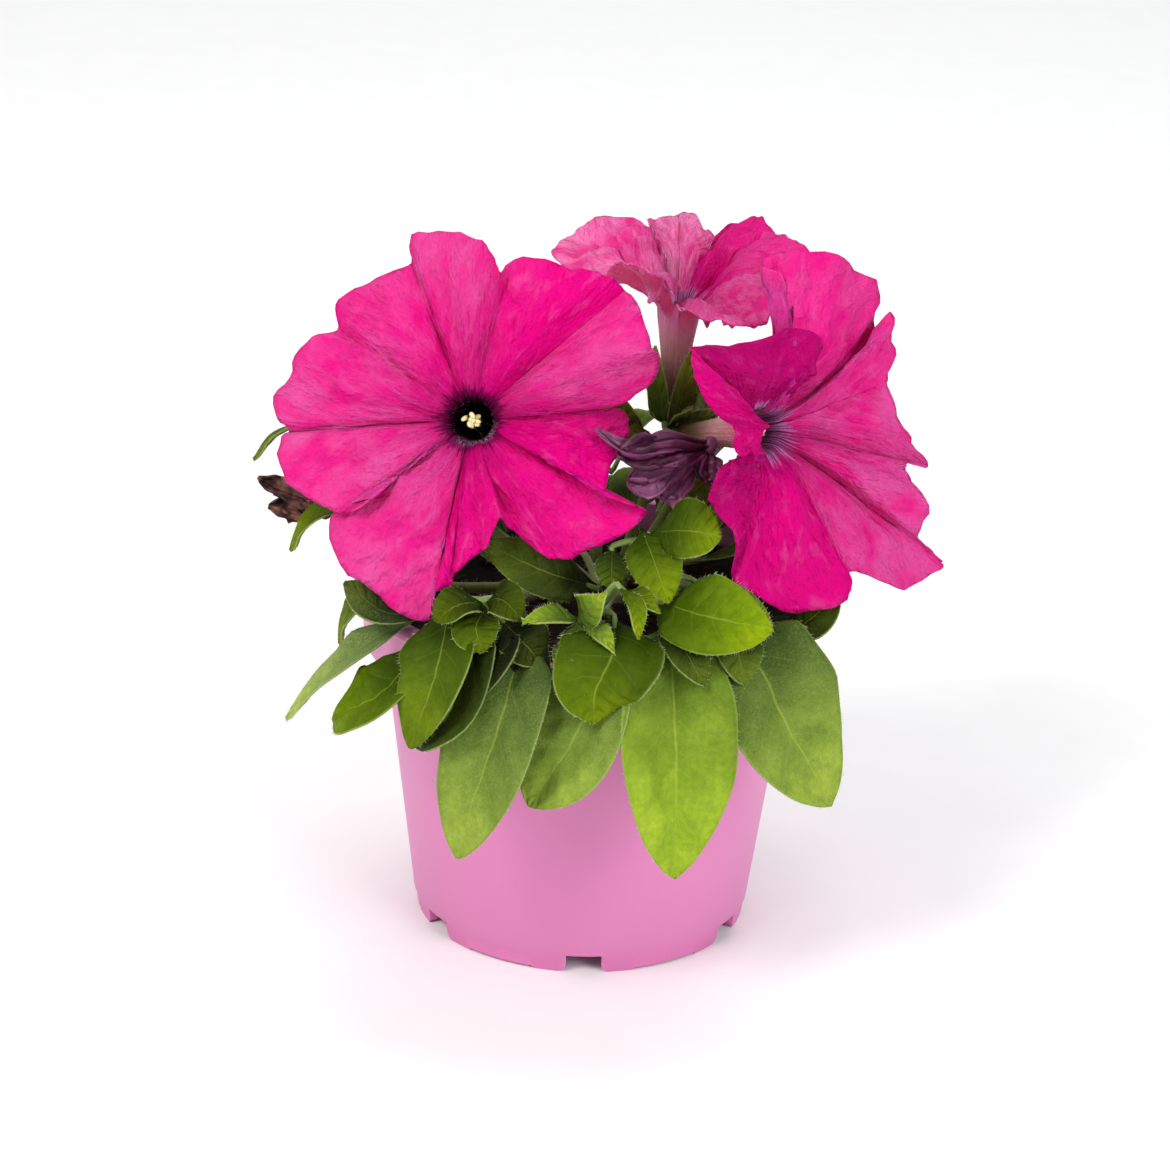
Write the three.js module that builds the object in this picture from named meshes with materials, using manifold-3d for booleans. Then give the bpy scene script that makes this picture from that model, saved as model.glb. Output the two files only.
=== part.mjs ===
import * as THREE from 'three';
import { mergeVertices } from 'three/addons/utils/BufferGeometryUtils.js';
import Module from 'manifold-3d';

// Potted grandiflora petunia: a taper-walled plastic nursery pot, the soil in it, leafy shoots
// that stand in the soil and hang over the lip, and three funnel flowers among them.
// Millimetres, +Z up, the front of the plant towards -Y.
// The origin is on the pot's axis, at the level that its feet stand on.

const wasm = await Module();
wasm.setup();

// Pot
const LIP_RADIUS = 60;
const POT_HEIGHT = 91;
const LIP_HEIGHT = 3.6;
const FOOT_RADIUS = 42.6;
const COLLAR_BOTTOM = 74.2;
const COLLAR_RADIUS = 57.4;
const WALL_TAPER = 0.133;
const WALL = 1.5;
const FLOOR_HEIGHT = 6;
const POT_SEGMENTS = 36;
const NOTCHES = 6;
const NOTCH_TURN = 2;
const NOTCH_WIDTH = 9;
const NOTCH_HEIGHT = 5;

// Soil
const GAP = 0.35;
const SOIL_LEVEL = 86;
const STEM_DEPTH = 12;

// Plant
const STEM_RADIUS = 1.8;
const STALK_RADIUS = 0.9;
const BLADE = 0.7;
const PETAL = 0.7;
const SLIVER = 0.15;

const COLOURS = {
  pot: 0xdc82b9, soil: 0x2a1d16, leaf: 0x5f7f22, petal: 0xe3087f, anther: 0xe8d9a0,
  wilted: 0x5c3358, dried: 0x5b3a2c,
};

const group = new THREE.Group();
const vec = (point) => new THREE.Vector3(...point);

function addNode(name, geometry, colour, roughness) {
  const material = new THREE.MeshStandardMaterial({ color: colour, roughness, metalness: 0 });
  const mesh = new THREE.Mesh(geometry, material);
  mesh.name = name;
  group.add(mesh);
}

// A geometry with shared vertices and no empty triangles.
function weld(geometry) {
  geometry.deleteAttribute('normal');
  geometry.deleteAttribute('uv');
  const welded = mergeVertices(geometry, 1e-4);
  const kept = [];
  const index = welded.index.array;
  for (let i = 0; i < index.length; i += 3) {
    const [a, b, c] = [index[i], index[i + 1], index[i + 2]];
    if (a !== b && b !== c && a !== c) kept.push(a, b, c);
  }
  welded.setIndex(kept);
  return welded;
}

function toSolid(geometry) {
  const welded = weld(geometry);
  return new wasm.Manifold(new wasm.Mesh({
    numProp: 3,
    vertProperties: new Float32Array(welded.getAttribute('position').array),
    triVerts: new Uint32Array(welded.index.array),
  }));
}

function toGeometry(solid) {
  const mesh = solid.getMesh();
  const geometry = new THREE.BufferGeometry();
  geometry.setAttribute('position', new THREE.BufferAttribute(mesh.vertProperties, 3));
  geometry.setIndex(new THREE.BufferAttribute(mesh.triVerts, 1));
  return geometry;
}

// One body of all the solids. What their crossing encloses is filled, and slivers are dropped.
function fuse(solids) {
  const bodies = solids.reduce((whole, piece) => whole.add(piece)).simplify(SLIVER).decompose();
  return bodies.reduce((best, body) => (body.volume() > best.volume() ? body : best));
}

// A closed sheet: the open surface, its copy on the back with the same triangles, and a rim.
function thicken(surface, thickness) {
  surface.computeVertexNormals();
  const place = surface.getAttribute('position');
  const normal = surface.getAttribute('normal');
  const count = place.count;
  const points = new Float32Array(count * 6);
  for (let i = 0; i < count; i += 1) {
    const point = new THREE.Vector3().fromBufferAttribute(place, i);
    const half = new THREE.Vector3().fromBufferAttribute(normal, i).multiplyScalar(thickness / 2);
    point.clone().add(half).toArray(points, i * 3);
    point.clone().sub(half).toArray(points, (count + i) * 3);
  }
  const front = Array.from(surface.index.array);
  const faces = [...front];
  const edges = new Set();
  for (let i = 0; i < front.length; i += 3) {
    const [a, b, c] = front.slice(i, i + 3);
    faces.push(c + count, b + count, a + count);
    for (const [from, to] of [[a, b], [b, c], [c, a]]) {
      if (!edges.delete(`${to} ${from}`)) edges.add(`${from} ${to}`);
    }
  }
  for (const edge of edges) {
    const [from, to] = edge.split(' ').map(Number);
    faces.push(to, from, from + count, to, from + count, to + count);
  }
  const sheet = new THREE.BufferGeometry();
  sheet.setAttribute('position', new THREE.BufferAttribute(points, 3));
  sheet.setIndex(faces);
  return sheet;
}

// A grid of across by along cells whose points are given by place(u, v), both from 0 to 1.
function surface(across, along, place) {
  const grid = new THREE.PlaneGeometry(1, 1, across, along);
  const points = grid.getAttribute('position');
  for (let i = 0; i < points.count; i += 1) {
    const at = place(points.getX(i) + 0.5, points.getY(i) + 0.5);
    points.setXYZ(i, at.x, at.y, at.z);
  }
  return weld(grid);
}

const smooth = (points) => new THREE.CatmullRomCurve3(points.map(vec), false, 'catmullrom', 0.5);

function tube(points, radius, sides, steps) {
  const section = new THREE.Shape();
  for (let i = 0; i < sides; i += 1) {
    const angle = (i / sides) * 2 * Math.PI;
    const draw = i === 0 ? 'moveTo' : 'lineTo';
    section[draw](radius * Math.cos(angle), radius * Math.sin(angle));
  }
  const path = smooth(points);
  return toSolid(new THREE.ExtrudeGeometry(section, { steps, extrudePath: path }));
}

// Pot

function potBody() {
  const wallRadius = (height) => FOOT_RADIUS + WALL_TAPER * height;
  const lipBottom = POT_HEIGHT - LIP_HEIGHT;
  const profile = [
    [0, FLOOR_HEIGHT], [FOOT_RADIUS - 2.8, FLOOR_HEIGHT], [FOOT_RADIUS - 2.2, 0], [FOOT_RADIUS, 0],
    [wallRadius(4.8), 4.8], [wallRadius(5.2) + 0.4, 5.2], [wallRadius(COLLAR_BOTTOM), COLLAR_BOTTOM],
    [COLLAR_RADIUS, COLLAR_BOTTOM + 0.8], [COLLAR_RADIUS + 0.7, lipBottom],
    [LIP_RADIUS, lipBottom + 0.4], [LIP_RADIUS, POT_HEIGHT], [COLLAR_RADIUS - WALL, POT_HEIGHT],
    [COLLAR_RADIUS - WALL, COLLAR_BOTTOM + 3], [wallRadius(COLLAR_BOTTOM) - WALL, COLLAR_BOTTOM],
    [wallRadius(FLOOR_HEIGHT) - WALL, FLOOR_HEIGHT + WALL], [0, FLOOR_HEIGHT + WALL],
  ];
  const turned = new THREE.LatheGeometry(profile.map((p) => new THREE.Vector2(...p)), POT_SEGMENTS);
  turned.rotateX(Math.PI / 2);
  return toSolid(turned);
}

// A block that cuts the foot ring at a compass turn, open downwards.
function footCut(turn, width, height) {
  const block = new THREE.BoxGeometry(width, 8, 2 * height);
  block.translate(0, -FOOT_RADIUS + 0.6, 0);
  block.rotateZ(THREE.MathUtils.degToRad(turn));
  return toSolid(block);
}

function pot() {
  let body = potBody();
  const spacing = 360 / NOTCHES;
  for (let i = 0; i < NOTCHES; i += 1) {
    const turn = NOTCH_TURN + i * spacing;
    body = body.subtract(footCut(turn, NOTCH_WIDTH, NOTCH_HEIGHT));
    body = body.subtract(footCut(turn + spacing / 2, 18, 0.7));
  }
  return toGeometry(body);
}

// Soil

function soilBody() {
  const inner = (height) => FOOT_RADIUS + WALL_TAPER * height - WALL - 0.7;
  const bottom = FLOOR_HEIGHT + WALL + GAP;
  const profile = [
    [0, bottom], [inner(bottom) - 0.3, bottom], [inner(COLLAR_BOTTOM - 2), COLLAR_BOTTOM - 2],
    [COLLAR_RADIUS - WALL - 2.5, SOIL_LEVEL - 3], [44, SOIL_LEVEL - 1], [24, SOIL_LEVEL],
    [0, SOIL_LEVEL + 0.4],
  ];
  const turned = new THREE.LatheGeometry(profile.map((p) => new THREE.Vector2(...p)), 24);
  turned.rotateX(Math.PI / 2);
  const points = turned.getAttribute('position');
  for (let i = 0; i < points.count; i += 1) {
    const [x, y, z] = [points.getX(i), points.getY(i), points.getZ(i)];
    if (z > SOIL_LEVEL - 2) points.setZ(i, z + 0.9 * Math.sin(x * 0.31) * Math.cos(y * 0.37));
  }
  return toSolid(turned);
}

// The straight foot that each shoot has in the soil, and the hole that it stands in.
function soil(shoots) {
  let body = soilBody();
  for (const { path } of shoots) {
    const [x, y] = path[0];
    const hole = new THREE.CylinderGeometry(
      STEM_RADIUS + 2 * GAP, STEM_RADIUS + 2 * GAP, 40, 8,
    );
    hole.rotateX(Math.PI / 2);
    hole.translate(x, y, SOIL_LEVEL - STEM_DEPTH - GAP + 20);
    body = body.subtract(toSolid(hole));
  }
  return toGeometry(body);
}

// Leaves

// Half the width of a leaf at t of its length, as a share of its half width. The leaf is widest
// at the share belly of its length, and narrows to a short stalk.
function outline(t, belly) {
  const swell = Math.sin(Math.PI * t ** (Math.log(0.5) / Math.log(belly))) ** 0.7;
  return swell * Math.min(1, 0.25 + 2.4 * t);
}

function blade({ rib, width, faces, belly = 0.5, cup = 0.1, wave = 0.5, cells = [2, 5] }) {
  const curve = smooth(rib);
  const middle = curve.getPoint(0.6);
  const out = new THREE.Vector3(middle.x, middle.y, 0).normalize();
  const facing = faces ? vec(faces).normalize() : out.multiplyScalar(0.5).setZ(0.87);
  const place = (u, v) => {
    const at = curve.getPoint(v);
    const along = curve.getTangent(v);
    const normal = facing.clone().addScaledVector(along, -facing.dot(along)).normalize();
    const side = new THREE.Vector3().crossVectors(along, normal);
    const reach = 2 * u - 1;
    const half = Math.max(0.4, (width / 2) * outline(v, belly));
    const lift = half * cup * Math.abs(reach) + wave * reach * reach * Math.sin(7 * v + 2 * reach);
    return at.addScaledVector(side, reach * half).addScaledVector(normal, lift);
  };
  return toSolid(thicken(surface(...cells, place), BLADE));
}

function leafBlade(leaf) {
  let cells = [2, 3];
  if (leaf.width < 9) cells = [1, 3];
  if (leaf.width > 19) cells = [2, 5];
  if (leaf.width > 24) cells = [4, 5];
  return blade({ cells, ...leaf });
}

// A stalk from the nearest point of the shoot to the leaf's own root.
function stalk(path, rib) {
  const root = vec(rib[0]);
  const curve = smooth(path);
  const near = curve.getPoints(40).slice(8)
    .reduce((best, point) => (point.distanceTo(root) < best.distanceTo(root) ? point : best));
  if (near.distanceTo(root) < STEM_RADIUS) return null;
  const inside = smooth(rib).getPoint(0.08);
  return tube([near.toArray(), inside.toArray()], STALK_RADIUS, 3, 1);
}

// Shoots

// Each shoot: its stem's path from its foot in the soil, and the leaves that it carries. A leaf's
// rib runs from its root to its tip; leaves that hang outside the pot have a crest over the lip.
const FOOT_END = SOIL_LEVEL - STEM_DEPTH;
const FRONT = [0, -1, 0.8];
const frontShoots = [
  {
    name: 'shoot_front_left',
    path: [
      [-9, -10, FOOT_END], [-9, -10, 87], [-9, -11, 92],
      [-17, -30, 97], [-25, -45, 102], [-25, -53, 105],
    ],
    leaves: [
      { rib: [[-34, -46, 102], [-36, -63, 92], [-42, -67, 72]], width: 19 },
      { rib: [[-35, -45, 94], [-50, -56, 82], [-62, -50, 71]], width: 21, belly: 0.6 },
      { rib: [[-40, -35, 95], [-58, -43, 86], [-75, -30, 62]], width: 12 },
      { rib: [[-38, -39, 95], [-50, -44, 98], [-60, -41, 104]], width: 11 },
      { rib: [[-26, -46, 96], [-28, -58, 95], [-33, -64, 81], [-41, -62, 70]], width: 18, belly: 0.6 },
      { rib: [[-16, -46, 96], [-18, -62, 89], [-24, -70, 69], [-30, -71, 45]], width: 25, belly: 0.55 },
      { rib: [[-25, -53, 104], [-31, -57, 106], [-37, -59, 102]], width: 11 },
      { rib: [[-25, -53, 105], [-21, -56, 107], [-16, -59, 103]], width: 10 },
      { rib: [[-25, -54, 104], [-27, -60, 101], [-25, -63, 96]], width: 12 },
      { rib: [[-22, -46, 96], [-24, -60, 94], [-30, -65, 83]], width: 15 },
      { rib: [[-19, -46, 96], [-16, -58, 93], [-14, -60, 84]], width: 14 },
      { rib: [[-22, -46, 98], [-16, -57, 97], [-11, -60, 92]], width: 13 },
    ],
  },
  {
    name: 'shoot_front',
    path: [[14, -9, FOOT_END], [14, -9, 87], [14, -12, 92], [18, -28, 97], [16, -42, 106], [13, -43, 120]],
    leaves: [
      { rib: [[18, -44, 97], [20, -60, 95], [22, -70, 73], [23, -72, 42]], width: 29, belly: 0.63 },
      { rib: [[12, -42, 121], [15, -50, 116], [19, -55, 107]], width: 13, faces: FRONT },
      { rib: [[14, -42, 120], [23, -50, 124], [31, -51, 123]], width: 15, faces: FRONT },
      { rib: [[5, -44, 117], [5, -48, 113], [5, -50, 108]], width: 8, faces: FRONT },
      { rib: [[15, -46, 104], [28, -62, 107], [44, -62, 104]], width: 20, faces: FRONT },
      { rib: [[24, -46, 110], [35, -56, 107], [44, -58, 103]], width: 10, faces: FRONT },
      { rib: [[18, -46, 99], [23, -62, 98], [28, -67, 91]], width: 11 },
      { rib: [[34, -45, 98], [36, -58, 96], [38, -61, 89]], width: 12 },
    ],
    branches: [
      {
        path: [[14, -9, 89], [6, -20, 94], [4, -34, 98], [3, -48, 102], [-3, -57, 102]],
        leaves: [
          {
            rib: [[6, -46, 97], [4, -61, 95], [-3, -68, 76], [-13, -70, 59]],
            width: 25, belly: 0.66, faces: [-0.2, -0.8, 0.9],
          },
          { rib: [[6, -50, 101], [6, -64, 98], [2, -70, 90], [2, -72, 82]], width: 26 },
          { rib: [[-2, -47, 97], [1, -61, 94], [8, -66, 79]], width: 19 },
          { rib: [[6, -56, 112], [11, -62, 109], [12, -66, 102]], width: 4 },
          { rib: [[7, -54, 110], [12, -59, 110], [17, -61, 107]], width: 5 },
          { rib: [[-3, -57, 103], [-9, -61, 105], [-16, -62, 104]], width: 7, cup: 0.5 },
          { rib: [[-3, -57, 103], [0, -60, 107], [4, -61, 112]], width: 9, faces: FRONT },
          { rib: [[-3, -57, 103], [-2, -63, 99], [0, -67, 93]], width: 9, faces: FRONT },
          { rib: [[-2, -57, 103], [3, -63, 102], [7, -65, 97]], width: 5 },
        ],
      },
    ],
  },
  {
    name: 'shoot_right',
    path: [[20, 0, FOOT_END], [20, 0, 87], [21, -3, 91], [28, -16, 94], [32, -26, 95]],
    leaves: [
      {
        rib: [[31, -30, 96], [39, -50, 94], [49, -56, 76], [61, -55, 55]],
        width: 32, belly: 0.55, faces: [0.35, -0.8, 0.6],
      },
      { rib: [[39, -26, 93], [51, -33, 93], [62, -28, 100]], width: 13 },
    ],
  },
  {
    name: 'shoot_left',
    path: [[-17, -8, FOOT_END], [-17, -8, 87], [-19, -10, 91], [-32, -20, 95], [-42, -26, 98]],
    leaves: [
      { rib: [[-49, -26, 97], [-58, -30, 93], [-62, -28, 82]], width: 10 },
      { rib: [[-55, -15, 113], [-68, -20, 113], [-75, -19, 103]], width: 12 },
    ],
    twigs: [[[-42, -26, 98], [-52, -14, 104], [-64, -8, 109]]],
  },
];

// The shoots that fill the pot behind the flowers are alike but for a sway in their sizes.
const BACK_TURNS = [12, 50, 86, 122, 157, 186];

function backShoot(turn, order) {
  const at = (radius, height, aside = 0) => {
    const angle = THREE.MathUtils.degToRad(turn + aside);
    return [radius * Math.cos(angle), radius * Math.sin(angle), height];
  };
  const sway = (k) => Math.sin(2.4 * (order + 1) * k);
  const path = [at(17, FOOT_END), at(17, 87), at(19, 92), at(28, 99), at(36, 110), at(38, 122)];
  const leaves = [
    { rib: [at(24, 95, -8), at(46, 101, -15), at(60, 97 + sway(1), -22)], width: 17 },
    { rib: [at(29, 100, 4), at(46, 108 + 2 * sway(2), 13), at(58, 104, 20)], width: 16 },
    { rib: [at(34, 107, -4), at(46, 118 + 2 * sway(3), -12), at(56, 115, -19)], width: 14 },
    { rib: [at(37, 116), at(49, 125, 7), at(57, 121 + 2 * sway(4), 13)], width: 12 },
    { rib: [at(38, 121), at(38, 132, -10), at(34, 139, -19)], width: 8, faces: at(1, 0.4) },
  ];
  const hangs = turn > 30 && turn < 150;
  if (hangs) {
    const drop = 54 + 6 * sway(5);
    leaves.push({
      rib: [at(26, 97), at(61, 96), at(73, 80), at(76, drop)], width: 25, belly: 0.6, cells: [2, 4],
    });
  }
  if (order === BACK_TURNS.length - 1) {
    leaves.splice(1, 1, { rib: [[-58, 2, 131], [-77, 1, 128], [-86, 2, 119]], width: 5 });
  }
  return { name: `shoot_back_${order + 1}`, path, leaves };
}

const shoots = [...frontShoots, ...BACK_TURNS.map(backShoot)];

function shoot({ path, leaves, twigs = [], branches = [] }) {
  const pieces = [tube(path, STEM_RADIUS, 5, 6), ...branches.map(shoot)];
  for (const twig of twigs) pieces.push(tube(twig, STALK_RADIUS, 3, 3));
  for (const leaf of leaves) {
    pieces.push(leafBlade(leaf));
    const twig = stalk(path, leaf.rib);
    if (twig) pieces.push(twig);
  }
  return fuse(pieces);
}

// Flowers

// Each flower: the closed line of its margin, the middle of its throat, the way it faces, the
// foot of its tube, and how often the margin is cut between the points given.
const flowers = [
  {
    name: 'left',
    throat: [-30, -35, 145],
    faces: [-0.05, -0.93, 0.37],
    foot: [-27, -4, 131],
    sepals: { length: 16, width: 5, spread: 9, turn: 0 },
    margin: [
      [-24, -24, 179], [-26, -23, 183], [-29, -22, 186], [-34, -20, 187], [-39, -18, 187],
      [-46, -16, 185], [-46, -19, 179], [-52, -20, 176], [-59, -20, 172], [-64, -21, 168],
      [-63, -26, 164], [-69, -27, 162], [-73, -28, 157], [-74, -29, 152], [-78, -28, 147],
      [-77, -31, 142], [-74, -33, 140], [-76, -32, 138], [-76, -34, 131], [-72, -37, 126],
      [-63, -42, 123], [-58, -44, 124], [-54, -44, 127], [-63, -39, 121], [-63, -42, 115],
      [-59, -45, 108], [-53, -47, 105], [-47, -49, 100], [-39, -49, 98], [-38, -49, 105],
      [-34, -49, 107], [-33, -48, 110], [-28, -46, 114], [-25, -46, 117], [-22, -46, 124],
      [-19, -44, 120], [-11, -47, 115], [-6, -46, 114], [-2, -46, 116], [7, -45, 120],
      [13, -42, 125], [7, -46, 129], [3, -45, 131], [4, -38, 135], [7, -33, 138], [8, -32, 142],
      [7, -31, 147], [0, -34, 148], [6, -35, 150], [11, -33, 153], [14, -32, 156], [15, -29, 160],
      [13, -29, 163], [11, -26, 168], [9, -23, 172], [6, -22, 175], [3, -21, 177], [-1, -21, 179],
      [-7, -20, 179], [-13, -19, 181], [-21, -20, 181],
    ],
  },
  {
    name: 'right',
    throat: [41, -35, 145],
    faces: [0.66, -0.70, 0.27],
    foot: [21, -5, 132],
    sepals: { length: 12, width: 5, spread: 7, turn: 30 },
    margin: [
      [41, -40, 138], [37, -46, 141], [33, -50, 145], [32, -49, 150], [29, -52, 153], [25, -55, 157],
      [23, -57, 162], [21, -57, 167], [21, -55, 171], [24, -51, 171], [31, -44, 169], [38, -36, 168],
      [45, -28, 168], [51, -25, 167], [54, -24, 164], [54, -23, 160], [51, -23, 156], [47, -22, 166],
      [46, -17, 172], [43, -15, 177], [39, -15, 180], [43, -11, 182], [49, -9, 182], [56, -5, 180],
      [62, -1, 175], [67, 2, 170], [69, 0, 164], [69, -4, 158], [71, -4, 163], [73, 0, 164],
      [73, 0, 156], [72, -3, 147], [75, -3, 137], [79, 0, 130], [85, 5, 122], [78, -7, 127],
      [79, -8, 123], [82, -7, 116], [82, -7, 107], [88, 0, 98], [84, -6, 96], [78, -14, 96],
      [69, -22, 102], [64, -28, 106], [63, -28, 101], [59, -32, 98], [50, -39, 99], [43, -44, 103],
      [37, -47, 108], [34, -52, 112], [33, -52, 117], [32, -52, 126], [28, -55, 132], [27, -55, 136],
      [29, -52, 141], [35, -46, 141],
    ],
  },
  {
    name: 'top',
    throat: [20, 12, 161],
    faces: [0.05, -0.1, 1],
    foot: [19, 5, 134],
    sepals: { length: 17, width: 7, spread: 8, turn: 10 },
    margin: [
      [19, 0, 164], [22, -9, 165], [27, -15, 164], [33, -18, 164], [38, -16, 163], [41, -13, 163],
      [43, -5, 168], [47, 5, 169], [52, 13, 170], [53, 21, 171], [50, 29, 172], [47, 35, 172],
      [42, 41, 172], [39, 45, 173], [34, 45, 171], [30, 40, 170], [27, 47, 169], [22, 53, 171],
      [16, 53, 171], [12, 49, 170], [12, 42, 170], [5, 44, 172], [-3, 38, 172], [-10, 28, 170],
      [-13, 18, 168], [-7, 8, 167], [0, 2, 169], [2, -3, 173], [6, -8, 176], [12, -11, 176],
      [16, -8, 172],
    ],
  },
];

const TUBE_RADII = [0, 2, 6.5];
const LIMB_SHARES = [0.34, 0.7, 1];

// The turn round the throat of each point of the margin, evened out so that it never runs back.
function evenTurns(rim, centre, across, up) {
  const turns = rim.map((point) => {
    const out = point.clone().sub(centre);
    return Math.atan2(out.dot(up), out.dot(across));
  });
  const full = 2 * Math.PI;
  const count = turns.length;
  for (let i = 1; i < count; i += 1) {
    turns[i] -= full * Math.round((turns[i] - turns[i - 1]) / full);
  }
  let even = turns.map((turn, i) => turn + (full * i) / count);
  for (let pass = 0; pass < 6; pass += 1) {
    const last = even;
    even = last.map((turn, i) => (
      last[(i + count - 1) % count] + 2 * turn + last[(i + 1) % count]) / 4);
  }
  return even.map((turn, i) => turn - (full * i) / count);
}

function corolla({ margin, throat, faces, foot }) {
  const centre = vec(throat);
  const start = vec(foot);
  const normal = vec(faces).normalize();
  const across = new THREE.Vector3(0, 1, 0).cross(normal).normalize();
  const up = new THREE.Vector3().crossVectors(normal, across);
  const rim = margin.map(vec);
  const angle = (point) => {
    const out = point.clone().sub(centre);
    return Math.atan2(out.dot(up), out.dot(across));
  };
  const sweep = rim.reduce((sum, point, i) => {
    const step = angle(rim[(i + 1) % rim.length]) - angle(point);
    return sum + step - 2 * Math.PI * Math.round(step / (2 * Math.PI));
  }, 0);
  if (sweep > 0) rim.reverse();
  const count = rim.length;
  const turns = evenTurns(rim, centre, across, up);
  const rings = TUBE_RADII.length + LIMB_SHARES.length - 1;
  const place = (u, v) => {
    const i = Math.round(u * count) % count;
    const ring = Math.round(v * rings);
    const out = across.clone().multiplyScalar(Math.cos(turns[i]))
      .addScaledVector(up, Math.sin(turns[i]));
    const widest = TUBE_RADII.length - 1;
    if (ring < widest) {
      const share = ring === 0 ? 0 : (ring - 1) / (widest - 1);
      return start.clone().lerp(centre, share * 0.9).addScaledVector(out, TUBE_RADII[ring]);
    }
    const inner = centre.clone().addScaledVector(normal, -2)
      .addScaledVector(out, TUBE_RADII[widest]);
    if (ring === widest) return inner;
    const share = LIMB_SHARES[ring - widest - 1];
    const reach = rim[i].clone().sub(inner);
    const bend = inner.clone().addScaledVector(reach, 0.35).addScaledVector(normal, 3);
    return inner.clone().multiplyScalar((1 - share) ** 2)
      .addScaledVector(bend, 2 * share * (1 - share)).addScaledVector(rim[i], share ** 2);
  };
  return toSolid(thicken(surface(count, rings, place), PETAL));
}

// A frame along a flower's tube: a point at a distance along it, out from it and round it.
function tubeFrame({ throat, foot }) {
  const start = vec(foot);
  const along = vec(throat).sub(start).normalize();
  const across = new THREE.Vector3(0, 1, 0).cross(along).normalize();
  const up = new THREE.Vector3().crossVectors(along, across);
  return (distance, radius, turn) => {
    const angle = THREE.MathUtils.degToRad(turn);
    return start.clone().addScaledVector(along, distance)
      .addScaledVector(across, radius * Math.cos(angle))
      .addScaledVector(up, radius * Math.sin(angle)).toArray();
  };
}

// The green cup under a flower: a knob on the end of the stem and five sepals round the tube.
function calyx(flower) {
  const at = tubeFrame(flower);
  const { length, width, spread, turn } = flower.sepals;
  const knob = new THREE.SphereGeometry(2.1, 5, 3);
  const pieces = [toSolid(knob.translate(...at(-2.9, 0, 0)))];
  for (let i = 0; i < 5; i += 1) {
    const round = turn + i * 72;
    const rib = [at(-3, 0.8, round), at(-0.5, 3.2, round), at(0.45 * length, 5.6, round),
      at(length, spread, round)];
    const outward = vec(at(0, 1, round)).sub(vec(at(0, 0, round))).toArray();
    pieces.push(blade({ rib, width, faces: outward, wave: 0.2, cells: [1, 3] }));
  }
  return fuse(pieces);
}

// Stamens: a slim column up the tube, with five anthers and the stigma in its end.
function stamens(flower) {
  const at = tubeFrame(flower);
  const reach = vec(flower.throat).distanceTo(vec(flower.foot));
  const pieces = [tube([at(1.1, 0, 0), at(reach * 0.5, 0, 0), at(reach - 2, 0, 0)], 0.8, 5, 3)];
  for (let i = 0; i < 6; i += 1) {
    const knob = new THREE.OctahedronGeometry(i === 5 ? 1.3 : 1.2);
    const out = i === 5 ? 0 : 1.1;
    knob.translate(...at(reach - (i === 5 ? 1.4 : 1.8), out, i * 72 + 20));
    pieces.push(toSolid(knob));
  }
  return fuse(pieces);
}

// The stems that carry the open flowers, with their own leaves.
const flowerStems = [
  {
    name: 'flower_stem_left',
    carries: ['left'],
    path: [[-7, 6, FOOT_END], [-7, 6, 87], [-8, 7, 96], [-11, 10, 108], [-21, 6, 124]],
    leaves: [
      { rib: [[2, -32, 101], [-11, -42, 109], [-26, -40, 115]], width: 14, faces: FRONT },
      { rib: [[-9, 8, 102], [-19, 13, 110], [-27, 14, 108]], width: 13 },
    ],
    twigs: [[[-9, 7, 98], [-2, -14, 103], [2, -32, 101]]],
  },
  {
    name: 'flower_stem_right',
    carries: ['top', 'right'],
    path: [[8, 8, FOOT_END], [8, 8, 87], [9, 8, 95], [12, 9, 106], [17, 4, 122]],
    leaves: [
      { rib: [[12, 0, 124], [7, -4, 134], [4, -6, 144]], width: 9, faces: [-0.3, -1, 0.3] },
      { rib: [[18, -4, 127], [12, -9, 132], [7, -11, 132]], width: 8 },
      { rib: [[30, -18, 117], [25, -24, 127], [20, -24, 134]], width: 10, faces: FRONT },
      { rib: [[13, 9, 108], [23, 15, 113], [31, 17, 110]], width: 13 },
    ],
    twigs: [
      [[17, 4, 120], [20, -10, 123], [24, -21, 132], [26, -26, 137]],
      [[16, 5, 118], [25, -8, 116], [30, -18, 117]],
    ],
  },
];

function flowerStem({ path, leaves, twigs, carries }) {
  const pieces = [shoot({ path, leaves, twigs })];
  for (const name of carries) {
    const flower = flowers.find((one) => one.name === name);
    const at = tubeFrame(flower);
    pieces.push(tube([path[path.length - 1], at(-5, 0, 0), at(-2.9, 0, 0)], 1.5, 5, 2));
    pieces.push(calyx(flower));
  }
  return fuse(pieces);
}

// Spent flowers: a knob with its crumpled lobes.
const wilted = {
  knob: [28, -29, 138],
  lobes: [
    { rib: [[27, -30, 139], [17, -36, 141], [9, -37, 139], [0, -39, 145]], width: 5 },
    { rib: [[27, -30, 138], [15, -38, 138], [5, -39, 139]], width: 10 },
    { rib: [[27, -30, 137], [16, -38, 132], [8, -39, 131]], width: 9 },
    { rib: [[27, -30, 137], [20, -37, 131], [17, -39, 127]], width: 9 },
    { rib: [[28, -29, 137], [28, -33, 133], [28, -35, 130]], width: 6 },
  ],
};
const dried = {
  knob: [-67, -8, 110],
  lobes: [
    { rib: [[-67, -8, 110], [-75, -10, 114], [-84, -8, 118]], width: 6 },
    { rib: [[-67, -8, 110], [-74, -12, 111], [-81, -12, 112]], width: 6 },
    { rib: [[-67, -8, 110], [-73, -8, 108], [-77, -9, 108]], width: 5 },
  ],
};

function spentFlower({ knob, lobes }) {
  const pieces = [toSolid(new THREE.SphereGeometry(2, 5, 3).translate(...knob))];
  for (const lobe of lobes) pieces.push(blade({ ...lobe, faces: FRONT, cup: 0.3, cells: [2, 3] }));
  return fuse(pieces);
}

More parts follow.
